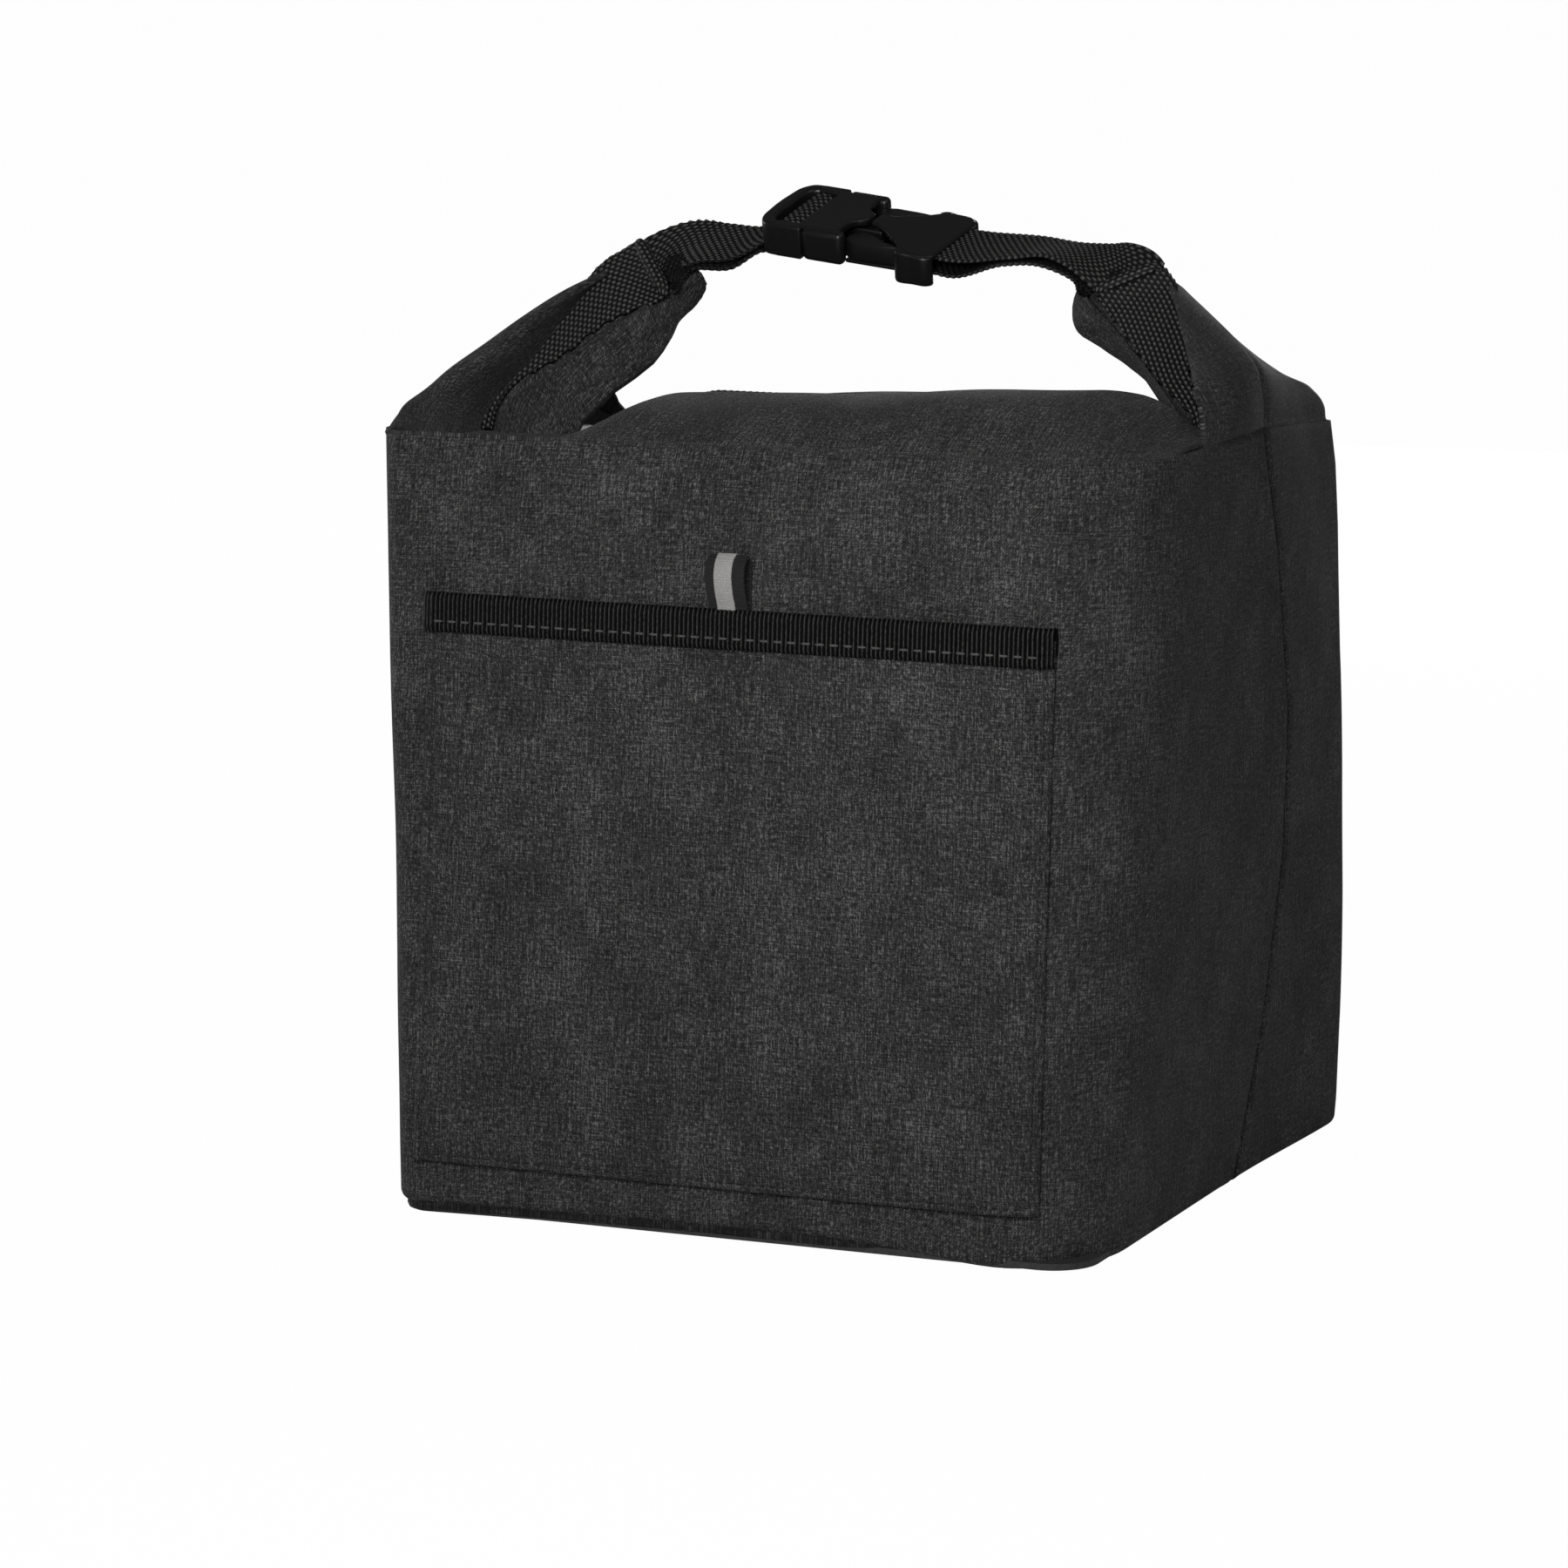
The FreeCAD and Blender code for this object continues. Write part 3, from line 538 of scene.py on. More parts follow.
def half_ring(a, b, round_right, round_left, counts=(30, 14, 96)):
    """Plan of the front half at one height, from the right seam to the left one, with normals."""
    side, corner, face = (np.linspace(0.0, 1.0, n) for n in counts)
    turn = corner[1:-1] * math.pi / 2
    cos, sin = np.cos(turn), np.sin(turn)
    even, none = np.ones(len(side)), np.zeros(len(side))
    right, left = a - round_right, -(a - round_left)
    deep_right, deep_left = b - round_right, b - round_left
    runs = [
        (a * even, -side * deep_right, even, none),
        (right + round_right * cos, -deep_right - round_right * sin, cos, -sin),
        (right + (left - right) * face, np.full(len(face), -b), np.zeros(len(face)), -np.ones(len(face))),
        (left - round_left * sin, -deep_left - round_left * cos, -sin, -cos),
        (-a * even, -deep_left * (1 - side), -even, none),
    ]
    return tuple(np.concatenate([run[k] for run in runs]) for k in range(4))


def rim_high(y):
    """Height of the rim: level along the front, and sunk where the back panel folds over."""
    return BAG_HIGH - RIM_SINK * np.maximum(y, 0.0) / DEEP_TOP


def shoulder(x):
    """How far the top of the front panel leans back where it rolls over into the flap."""
    return SHOULDER_LEAN * smooth((x + 62.0) / 16.0) * smooth((106.0 - x) / 18.0)


def shell_half(round_right, round_left, facing, lip=2.8, roll=3.6):
    """Grid of one half of the shell. facing is -1 for the front half and 1 for the back half."""
    grid = []
    under = [(roll * (1 - math.sin(t)), roll * (1 - math.cos(t))) for t in np.radians(np.linspace(84, 0, 8))]
    walls = [(z, 0.0) for z in np.linspace(roll, BAG_HIGH - lip, 84)[1:]]
    for rise, inset in under + walls:
        share = rise / (BAG_HIGH - lip)
        x, y, nx, ny = half_ring(half_width(lip + rise), half_depth(lip + rise), round_right, round_left)
        along = np.clip((x + HALF_LOW) / (2.0 * HALF_LOW), 0.0, 1.0)
        faces_out = np.clip(-ny, 0.0, 1.0)
        low = (lip + 1.6 * np.sin(np.pi * along) * faces_out**2) * (1.0 - 0.93 * smooth((x - 30.0) / 60.0))
        z = low + rise * (rim_high(-facing * y) - low) / (BAG_HIGH - lip)
        sag = np.sin(np.pi * share) * (1.6 * np.abs(nx) * np.cos(np.pi * y / 240.0) + 0.5 * faces_out)
        ripple = 0.35 * np.sin(x / 17.0 + z / 41.0) * np.sin(z / 23.0 - y / 19.0) * np.sin(np.pi * share)
        seam = -0.6 * np.exp(-((y / 1.3) ** 2)) + 0.3 * np.exp(-(((np.abs(y) - 4.0) / 2.2) ** 2)) * np.abs(nx)
        out = sag + ripple + seam - inset
        lean = shoulder(x) * np.clip((z - BAG_HIGH + 15.0) / 15.0, 0.0, 1.0) ** 2 if facing < 0 else 0.0
        grid.append(np.stack([x + nx * out, -facing * (y + ny * out) + lean, z], axis=-1))
    return settled(np.array(grid))


for word, way, corners in (("front", -1, (CORNER, SHARP_CORNER)), ("back", 1, BACK_CORNERS)):
    wall_grid = shell_half(*corners, way)
    wall = cloth(word + "_shell", wall_grid, (0, way, 0), SHELL_THICK)
    wear(wall, shell_cloth, "charcoal_fabric", "bag", word + "_panel")

# %% [markdown]
# The base. Its darker panel is sewn in a little inside the walls, so it shows as a thin dark line
# under the front edge. A flat plate would leave a gap below the rolled walls, so it is a shallow
# tray of rings: a rolled edge, then flat to the middle.

# %% Bottom panel
def full_ring(z, inset, counts=(16, 10, 40)):
    """Plan of the whole bag at one height, drawn in by the inset."""
    x, y, nx, ny = half_ring(half_width(z), half_depth(z), CORNER, INNER_CORNER, counts)
    bx, by, bnx, bny = half_ring(half_width(z), half_depth(z), *BACK_CORNERS, counts)
    front = np.stack([x - nx * inset, y - ny * inset], axis=-1)
    back = np.stack([bx - bnx * inset, -(by - bny * inset)], axis=-1)[::-1]
    return np.concatenate([front[:-1], back[:-1]])


def stacked_rings(levels):
    """One ring of points for each height and inset."""
    grid = []
    for z, inset in levels:
        plan = full_ring(z, inset)
        grid.append(np.column_stack([plan, np.full(len(plan), z)]))
    return np.array(grid)


rolled_edge = [(7.0, 3.2), (4.2, 1.7), (3.2, 1.3), (2.0, 1.1), (0.8, 1.6), (0.1, 3.2)]
rings = rolled_edge + [(0.0, 6.0), (0.0, 40.0), (0.0, 85.0)]
base_grid = stacked_rings(rings)
count = base_grid.shape[1]
base_faces = []
for r in range(len(rings) - 1):
    for c in range(count):
        d = (c + 1) % count
        base_faces.append((r * count + d, r * count + c, (r + 1) * count + c, (r + 1) * count + d))
base_faces.append(tuple(range(count)))
base_faces.append(tuple(reversed(range((len(rings) - 1) * count, len(rings) * count))))
base_points = settled(base_grid.reshape(-1, 3))
FRONT_BOW, RIGHT_INSET = 1.5, 2.2
bow = np.cos(np.clip(base_points[:, 0] / 108.0, -1.0, 1.0) * np.pi / 2)
bow = bow * smooth((-base_points[:, 1] - 85.0) / 30.0)
base_points[:, 2] += FRONT_BOW * bow
to_right = RIGHT_INSET * smooth((base_points[:, 0] - 30.0) / 60.0)
base_points[:, 0] -= to_right
base_points[:, 1] -= to_right * base_points[:, 1] / DEEP_LOW
base_panel = mesh_piece("base_panel", base_points, base_faces, base_points[:, :2])
wear(base_panel, base_cloth, "base_fabric", "bag", "bottom_panel")
print("base panel:", len(base_faces), "faces")

# %% [markdown]
# The front flap. The front panel folds back over the mouth: on the left it tucks sharply down
# behind the crease, on the right the rolled top underneath pushes it up into a soft dome. One
# sheet is lofted from the crease.

# %% Front flap
def arc(past, radius):
    """The other leg of a round corner's triangle, past its middle by so much."""
    return np.sqrt(np.maximum(radius**2 - past**2, 0))


def rim_depth(x, round_right=CORNER, round_left=SHARP_CORNER):
    """How far forward the rim of the front panel lies at each x, on its rounded corners."""
    y = np.full_like(x, -DEEP_TOP)
    right = x > HALF_TOP - round_right
    y[right] = -DEEP_TOP + round_right - arc(x[right] - HALF_TOP + round_right, round_right)
    left = x < -HALF_TOP + round_left
    y[left] = -DEEP_TOP + round_left - arc(x[left] + HALF_TOP - round_left, round_left)
    return y


FRONT_FLAP_END = -37.0

# Height of the flap above the rim: places across the bag, and the height at each
FLAP_DOME = (
    [-122, -73, -68, -62, -54, -40, 0, 45, 95, 108, 116, 122],
    [-6.0, -7.5, -3.0, 4.0, 8.5, 10.0, 11.5, 13.5, 15.5, 13.0, 6.0, -0.4],
)


def front_flap_grid(drop=0.0, inset=0.0, rows=44, columns=150):
    """Grid of the front flap from its crease to the roll, or of a layer below and inside it."""
    x = np.linspace(-121.5 + inset, 122.6 - inset, columns)
    rim = rim_depth(x) + inset
    dome = np.interp(x, *FLAP_DOME)
    dome = np.convolve(np.pad(dome, 4, "edge"), np.ones(9) / 9.0, "valid")
    crisp = smooth((-x - 58.0) / 14.0)
    grid = []
    for t in np.linspace(0.0, 1.0, rows) ** 1.3:
        soft = (1.0 - (1.0 - min(t / 0.9, 1.0)) ** 2.3) * (1.0 - 0.35 * smooth((t - 0.86) / 0.14))
        tucked = smooth(t / 0.10)
        share = crisp * tucked + (1.0 - crisp) * soft
        fold = 0.5 * np.sin(x / 9.0 + 3.0 * t) * np.sin(np.pi * t) + 0.7 * np.sin(x / 23.0 - 2.0 * t) * t
        z = BAG_HIGH + dome * share + fold * smooth(t / 0.3) - drop
        start = rim + shoulder(x)
        y = start + (FRONT_FLAP_END + 2.0 * np.sin(x / 31.0) - start) * t
        grid.append(np.stack([x, y, z], axis=-1))
    return settled(np.array(grid))


LINING_THICK, LINING_INSET = 0.5, 1.2


def mouth_flap(flap, grid_of, lining_drop):
    """A flap's shell cloth, and its lining a little below and inside it."""
    outer_grid, inner_grid = grid_of(), grid_of(lining_drop, LINING_INSET)
    outer = cloth(flap + "_cloth", outer_grid, (0, 0, 1), SHELL_THICK)
    wear(outer, shell_cloth, "charcoal_fabric", None, flap)
    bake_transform(outer)
    inner = cloth(flap + "_inside", inner_grid, (0, 0, 1), LINING_THICK)
    wear(inner, lining_film, "lining", None, flap + "_lining")
    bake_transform(inner)


mouth_flap("front_flap", front_flap_grid, 2.4)

# %% [markdown]
# The back flap folds forward from the back rim over the roll. It is wider than the roll and dips
# towards the gables at both ends, so it is the same kind of lofted sheet.

# %% Back flap
# From the back rim to the roll: shares of the way, the flap's half width and its rise at each
WAY_FORWARD = [0.0, 0.15, 0.45, 0.75, 1.0]
BACK_FLAP_END = -9.0
HALF_FLAP, FLAP_RISE = [119.0, 114.0, 109.0, 99.0, 80.0], [0.0, 3.6, 8.2, 11.6, 14.2]


def back_flap_grid(drop=0.0, inset=0.0, rows=44, columns=120):
    """Grid of the back flap from the back rim to the roll, or of a layer below and inside it."""
    grid = []
    for t in np.linspace(0.0, 1.0, rows):
        half = np.interp(t, WAY_FORWARD, HALF_FLAP) - inset
        x = np.linspace(-half, half, columns)
        rim = -rim_depth(np.linspace(-121.0, 121.0, columns), RIM_CORNER, RIM_CORNER) - inset
        y = rim + (BACK_FLAP_END + 2.0 * np.sin(x / 27.0) - rim) * t
        ends = smooth((np.abs(x) / half - 0.62) / 0.38)
        droop = 3.5 * ends + 6.5 * smooth((-x - 5.0) / 65.0) + 8.0 * smooth((-x / half - 0.9) / 0.1)
        rise = np.interp(t, WAY_FORWARD, FLAP_RISE) - t * droop
        fold = 0.6 * np.sin(x / 13.0 + 2.0 * t) * np.sin(np.pi * t) * smooth(t / 0.2)
        grid.append(np.stack([x, y, rim_high(rim) + rise + fold - drop], axis=-1))
    return settled(np.array(grid))


mouth_flap("back_flap", back_flap_grid, 2.7)

# %% [markdown]
# The gables. Each side wall runs on above the rim and is pulled up and inwards to the handle, so
# it makes a tent with a ridge on the side seam. A cone would be too even, so three smooth lines
# carry it, the front edge, the ridge and the back edge, and the sheet is spanned between them from
# the rim to the peak.

# %% Gables
def rim_line(x_sign, y_front, y_back, n):
    """Points along a side's rim from y_front to y_back, round the corners where it reaches them."""
    y = np.linspace(y_front, y_back, n)
    x = np.full(n, HALF_TOP)
    for corner, radius in ((-1.0, CORNER if x_sign > 0 else INNER_CORNER), (1.0, RIM_CORNER)):
        near = y * corner > DEEP_TOP - radius
        x[near] = HALF_TOP - radius + arc(y[near] * corner - DEEP_TOP + radius, radius)
    return np.stack([x_sign * x, y, rim_high(y)], axis=-1)


SIDES = ((1, "right"), (-1, "left"))
ridge_knots = [
    (123, 0, 240), (123.4, 0, 250), (122, 0.5, 259), (113, 5, 268), (103, 10, 275.5), (94, 14.5, 281.5),
]
back_peak = [(105.5, 45, 259), (97.5, 36, 268.5), (92, 29, 276), (89.5, 25, 280.5)]
back_knots = {
    1: [(116.5, 93.5, 233.4), (119.5, 89, 238.6), (118.6, 78, 245), (113.4, 58.5, 250.8)] + back_peak,
    -1: [(119, 88, 232.5), (119, 68, 237), (117, 48, 246)] + back_peak,
}
front_knots = {
    1: [
        (122.6, -52, 240), (122.3, -51, 247), (118.9, -46, 257), (112.1, -33, 266.4),
        (104.4, -17, 275.2), (98.1, -5, 281.6), (93.1, 4, 285.5),
    ],
    -1: [
        (118.5, -97.5, 240), (122.5, -82, 244.2), (123.6, -63, 248.8), (122, -56, 252.8),
        (116.5, -44, 259.8), (109.5, -30, 267.8), (101.5, -15, 275.2), (93.5, -1, 280.5),
    ],
}
SWELL_FRONT, SWELL_BACK, CRUMPLE, CREASE_DEEP = 2.6, -2.0, 0.7, 0.9
GABLE_THICK, GABLE_TAPER = 1.4, 0.75


def gable_grid(side, rows=44, half=30):
    """Grid of one gable, spanned from its front edge over the ridge to its back edge."""
    t = np.linspace(0.0, 1.0, rows)
    mirror = np.array([side, 1.0, 1.0])
    lines = (front_knots[side], ridge_knots, back_knots[side])
    front, ridge, back = (line_through(knots, t) * mirror for knots in lines)
    start, stop = front[0][1], back[0][1]
    base = np.concatenate([rim_line(side, start, 0.0, half), rim_line(side, 0.0, stop, half)[1:]])
    grid = np.zeros((rows, 2 * half - 1, 3))
    for c in range(2 * half - 1):
        if c < half:
            a = c / (half - 1)
            grid[:, c] = front * (1 - a) + ridge * a
            swell = SWELL_FRONT * np.sin(np.pi * a)
        else:
            a = (c - half + 1) / (half - 1)
            grid[:, c] = ridge * (1 - a) + back * a
            swell = SWELL_BACK * np.sin(np.pi * a)
        crumple = CRUMPLE * np.sin(3.0 * a + 9.0 * t) * np.sin(np.pi * a)
        grid[:, c, 0] += side * (swell * np.sin(np.pi * np.sqrt(t)) + crumple * np.sin(np.pi * t))
    for _ in range(24):
        grid[:, 1:-1] = 0.5 * grid[:, 1:-1] + 0.25 * (grid[:, :-2] + grid[:, 2:])
    creased = np.exp(-(((np.arange(2 * half - 1) - half + 1) / 1.1) ** 2))[None]
    grid[..., 0] -= side * CREASE_DEEP * (creased * np.sin(np.pi * t**0.4)[:, None])
    return settled(grid + ((1.0 - t) ** 4)[:, None, None] * (base - grid[0])[None])


for side, word in SIDES:
    sides_grid = gable_grid(side)
    gable = cloth(word + "_gable", sides_grid, (side, 0, 0), GABLE_THICK)
    wear(gable, shell_cloth, "charcoal_fabric", None, word + "_ear")
    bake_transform(gable)

# %% [markdown]
# The arms. Inside each gable the rolled top turns up towards the handle: a flat face that carries
# the webbing, a corded seam, and a puffed band along its inner edge, which on the left is fat at
# the foot and thin at the head. One rolled tube would hide the seam, so a closed section is
# lofted along the slanting seam.

# %% Arms
PLANE_FOOT = np.array([0.0, -36.0, 240.3])
UP_PLANE, OUT_PLANE = np.array([0.0, 0.6626, 0.7490]), np.array([0.0, -0.7490, 0.6626])
SEAM_FOOT, SEAM_HEAD = np.array([114.0, 5.0]), np.array([64.0, 58.0])
ACROSS = np.array([0.7274, 0.6862])

# Shares of the way up the seam, and the width in mm at each
FACE_WIDE = [-0.2, 0.0, 0.217, 0.494, 0.712, 0.897, 1.0], [2.0, 3.0, 8.0, 17.9, 22.6, 24.2, 24.2]
BAND_WIDE = {
    1: ([-0.05, 0.1, 0.29, 0.48, 0.59, 0.7, 0.84, 1.0], [8.0, 4.4, 1.6, 0.8, 2.8, 5.4, 9.0, 8.0]),
    -1: (
        [-0.1, 0.08, 0.2, 0.38, 0.5, 0.6, 0.67, 0.74, 0.83, 0.93, 1.0],
        [30.0, 24.0, 18.5, 15.4, 15.6, 15.4, 13.6, 10.4, 5.6, 1.4, 0.6],
    ),
}
HEAD_SINK = {1: 1.0, -1: 4.5}


def in_plane(x, rise, out):
    """Points of the slanting plane in which both arms lie, or so far out of it."""
    x, rise, out = np.broadcast_arrays(np.asarray(x, float), rise, out)
    spot = PLANE_FOOT + rise[..., None] * UP_PLANE + out[..., None] * OUT_PLANE
    spot[..., 0] = x
    return spot


def seam_point(u):
    """The corded seam up the arm: straight, but turned down behind the crease at its foot."""
    spot = SEAM_FOOT + (SEAM_HEAD - SEAM_FOOT) * max(u, 0.0)
    low = max(-u, 0.0)
    return spot + np.array([2.0 * math.sin(low * 16.0), -75.0 * low])


def arm_grid(side, rows=72, columns=80):
    """Closed sections up one arm: its face, the cord, the puffed band and the back."""
    grid = []
    for u in np.linspace(-0.19, 1.0, rows):
        close = math.sqrt(max(1.0 - ((u - 0.86) / 0.145) ** 2, 0.0)) if u > 0.86 else 1.0
        w, b = np.interp(u, *FACE_WIDE) * close, np.interp(u, *BAND_WIDE[side]) * close
        fat = (0.35 + 0.65 * close) * np.interp(u, [0.0, 0.5, 1.0], [15.0, 13.5, 10.0])
        pucker = 0.9 * math.sin(u * 34.0) * max(0.45 - u, 0.0) / 0.45
        outline = [
            (w, -0.4), (0.5 * w, 0.0), (1.6, 0.0), (0.5, -1.2), (0.0, -2.2), (-0.7, -1.0),
            (-0.15 * b, 1.5 + pucker), (-0.35 * b, 0.7 + pucker), (-0.6 * b, -2.2), (-0.83 * b, -0.42 * fat),
            (-b, -0.62 * fat), (-0.92 * b, -0.85 * fat), (-0.4 * b, -fat),
            (0.25 * w, -fat), (0.8 * w, -0.8 * fat), (w, -0.45 * fat), (w, -0.4),
        ]
        across, out = np.array(outline).T
        out = out - HEAD_SINK[side] * smooth((u - 0.78) / 0.16)
        place = np.concatenate([[0.0], np.cumsum(np.hypot(np.diff(across), np.diff(out)))])
        even = np.linspace(0.0, place[-1], columns, endpoint=False)
        foot = seam_point(u)
        x = foot[0] + ACROSS[0] * np.interp(even, place, across)
        rise = foot[1] + ACROSS[1] * np.interp(even, place, across)
        spot = in_plane(x, rise, np.interp(even, place, out))
        spot[:, 0] *= side
        grid.append(spot)
    return np.array(grid)


def capped(piece, rows, columns):
    """Closes a lofted tube's two ends."""
    mesh = piece.data
    faces = [tuple(p.vertices) for p in mesh.polygons]
    faces += [tuple(range(columns)), tuple(range((rows - 1) * columns, rows * columns))]
    points = np.array([v.co for v in mesh.vertices]) * PER_METRE
    layer = np.zeros(len(mesh.loops) * 2)
    mesh.uv_layers[0].data.foreach_get("uv", layer)
    corners = np.zeros(len(mesh.loops), int)
    mesh.loops.foreach_get("vertex_index", corners)
    maps = np.zeros((len(points), 2))
    maps[corners] = layer.reshape(-1, 2) * PER_METRE
    name = piece.name
    bpy.data.objects.remove(piece)
    again = mesh_piece(name, points, faces, maps)
    closed = bmesh.new()
    closed.from_mesh(again.data)
    bmesh.ops.recalc_face_normals(closed, faces=closed.faces)
    closed.to_mesh(again.data)
    closed.free()
    return again


for side, word in SIDES:
    loft = arm_grid(side)
    made = cloth(word + "_roll_band", loft, (0, 0, 1), closed=True)
    made = capped(made, *loft.shape[:2])
    wear(made, shell_cloth, "charcoal_fabric", word + "_arm", word + "_roll_end")
    print(made.name, len(made.data.vertices), "points")

# %% [markdown]
# Inside the left gable the cloth is turned over its front edge and runs down to the webbing, so
# the photograph shows a puffed fold there and no bare hem. It is a sheet between the gable's edge
# and a line behind the webbing, pushed out in the middle as folded cloth is.

# %% Fold of the left gable
def flat_line(spots, share):
    """A smooth line through spots of a plane."""
    spots = np.asarray(spots, float)
    return line_through(np.column_stack([spots, np.zeros(len(spots))]), share)


share = np.linspace(0.0, 1.0, 60)
edge = line_through(front_knots[-1], share) * (-1.0, 1.0, 1.0)
edge = settled(edge) + np.array([-0.3, -0.9, 0.2])
behind_webbing = [(119.5, -10.0), (119.5, 0.0), (117.0, 9.0), (110.0, 24.0), (103.5, 42.0), (98.0, 53.0)]
hidden = flat_line(behind_webbing, share)
hidden = in_plane(-hidden[:, 0], hidden[:, 1], -7.0 + 5.0 * share**3)
part = np.linspace(0.0, 1.0, 40)[None, :, None]
puff = np.sin(np.pi * part**0.7) * (2.0 + 8.0 * np.sin(np.pi * share))[:, None, None]
fold_grid = edge[:, None] * (1.0 - part) + hidden[:, None] * part + puff * np.array([0.38, -0.91, 0.10])
left_fold = cloth("left_gable_fold", fold_grid, (0.0, -0.7, 0.7), 1.0)
wear(left_fold, shell_cloth, "charcoal_fabric", None)
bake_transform(left_fold)

# %% [markdown]
# Webbing. Narrow woven tape shows small raised cells in staggered rows. A bump could hint at
# them, but the edge of the strap would stay smooth, so the cells are lifted on a fine grid.

# %% Webbing on the arms and the roll
WEB_THICK = 1.1


def woven(points, lift):
    """Lifts a fine grid into staggered woven cells, columns across the tape, rows along it."""
    u, v = grid_lengths(points)
    row, v = np.floor(u / CELL_ACROSS), v[:, [v.shape[1] // 2]]
    stagger = v + 0.5 * CELL_ALONG * (row % 2)
    over = np.abs(np.sin(np.pi * u / CELL_ACROSS)) ** 0.7
    cell = over * np.abs(np.sin(np.pi * stagger / CELL_ALONG)) ** 0.6
    return points + grid_normals(points) * (cell * lift)[..., None]


def turned_to(points, outward):
    """Turns a grid round if its face looks away from outward."""
    middle = grid_normals(points)[points.shape[0] // 2, points.shape[1] // 2]
    return points if np.dot(middle, outward) > 0 else points[:, ::-1]


def webbing(name, points, outward, body, node):
    """A woven tape on a fine grid, which rides on a body in place of a CAD node."""
    face = turned_to(np.asarray(points, float), outward)
    tape = cloth(name, woven(face, 0.55), outward, WEB_THICK, plain=face)
    return wear(tape, webbing_yarn, "webbing", body, node)


RIDGE = {1: np.array([(71.5, 51.8), (90.5, 63.0)]), -1: np.array([(69.8, 44.1), (85.7, 65.1)])}
INNER_EDGE = [(114.8, -8.5), (116.0, -2.0), (114.5, 5.6), (100.0, 20.6), (86.0, 36.0)]
OUTER_EDGE = {
    1: [(115.6, -8.5), (116.6, 0.0), (114.6, 9.0), (108.4, 24.0), (102.3, 43.0), (95.0, 58.5)],
    -1: [(119.5, -8.5), (119.5, 0.0), (117.0, 9.0), (109.5, 24.0), (102.3, 43.0), (95.0, 58.5)],
}


for side, word in SIDES:
    share = np.linspace(0.0, 1.0, 200)
    low, top = RIDGE[side]
    inner, outer = flat_line(INNER_EDGE + [low], share), flat_line(OUTER_EDGE[side] + [top], share)
    across = np.linspace(0.0, 1.0, 58)[None, :, None]
    flat = inner[:, None, :] * (1.0 - across) + outer[:, None, :] * across
    lift = 1.2 + 1.5 * smooth((share - 0.9) / 0.1)[:, None] + 0.0 * flat[..., 0]
    if side > 0:
        lift = lift - 2.0 * across[..., 0] * (1.0 - smooth(share / 0.42))[:, None]
    spots = in_plane(flat[..., 0], flat[..., 1], lift)
    spots[..., 0] *= side
    webbing(word + "_arm_tape", spots, OUT_PLANE, word + "_arm", word + "_arm_webbing")
    along = np.linspace(0.0, 0.97, 60)
    spine = low + (top - low) * along[:, None]
    turns = np.linspace(0.0, 2.0 * math.pi, 14, endpoint=False)
    fat = 2.3 * (1.0 - np.abs(2.0 * along - 1.0) ** 6 * 0.7)
    drift = np.cos(turns)[None, :] * fat[:, None]
    lift = 3.2 + 0.25 * np.abs(np.sin(along * 24.0))[:, None] + 0.75 * np.sin(turns)[None, :] * fat[:, None]
    bead = in_plane(spine[:, :1] + 0.8 * drift, spine[:, 1:] - 0.6 * drift, lift)
    bead[..., 0] *= side
    fold = capped(cloth(word + "_sewn_fold", bead, (0, 0, 1), closed=True), *bead.shape[:2])
    wear(fold, webbing_yarn, "webbing", word + "_arm")
    print(fold.name, "sewn over the tape's head")


def roll_dip(x):
    """How far the roll sinks at its left end."""
    return 7.0 * smooth((-x - 50.0) / 26.0)


x, y = np.meshgrid(np.linspace(-75.5, 75.5, 300), np.linspace(-33.5, -9.5, 50), indexing="ij")
mouth_spots = np.stack([x, y, 245.9 - roll_dip(x)], axis=-1)
webbing("mouth_tape", mouth_spots, (0, 0, 1), "back_flap", "mouth_webbing")
print("webbing on both arms and the roll")

# %% [markdown]
# The rolled mouth. The stiff mouth of the bag is rolled forward a few turns; a plain tube would
# look like foam, so it is a real spiral of cloth, flattened by the flaps that lie on it.

# %% Rolled mouth
ROLL_TURNS, ROLL_MIDDLE, ROLL_HIGH = 2.6, -19.0, 240.2
turns = np.linspace(0.0, ROLL_TURNS * 2 * math.pi, 150)
wide = 15.6 - 2.6 * turns / (2 * math.pi)
high = 4.9 - 1.2 * turns / (2 * math.pi)
roll = np.zeros((60, len(turns), 3))
for k, x in enumerate(np.linspace(-76.0, 76.0, 60)):
    pinch = 1.0 - 0.08 * smooth((abs(x) - 60.0) / 16.0)
    roll[k, :, 0] = x
    roll[k, :, 1] = ROLL_MIDDLE + wide * np.cos(turns) * pinch
    roll[k, :, 2] = ROLL_HIGH - roll_dip(x) + high * np.sin(turns) * pinch
mouth_roll = cloth("mouth_roll", roll, (0, 0, 1), 0.8, turn_map=True)
wear(mouth_roll, shell_cloth, "charcoal_fabric", "back_flap", "rolled_mouth")

# %% [markdown]
# The handle straps. Each is webbing doubled round the buckle's bar, so two layers leave the arm,
# part a little on the way and close round the bar. The layers twist from the arm's plane to the
# buckle's, so each is a strip along a smooth line with its own width direction at every point.

# %% Handle straps
def turned(v, yaw, pitch, roll_angle):
    """A vector turned about x, then y, then z."""
    cy, sy, cp, sp = math.cos(yaw), math.sin(yaw), math.cos(pitch), math.sin(pitch)
    cr, sr = math.cos(roll_angle), math.sin(roll_angle)
    about_x = np.array([[1, 0, 0], [0, cr, -sr], [0, sr, cr]])
    about_y = np.array([[cp, 0, sp], [0, 1, 0], [-sp, 0, cp]])
    about_z = np.array([[cy, -sy, 0], [sy, cy, 0], [0, 0, 1]])
    return about_z @ about_y @ about_x @ np.asarray(v, float)


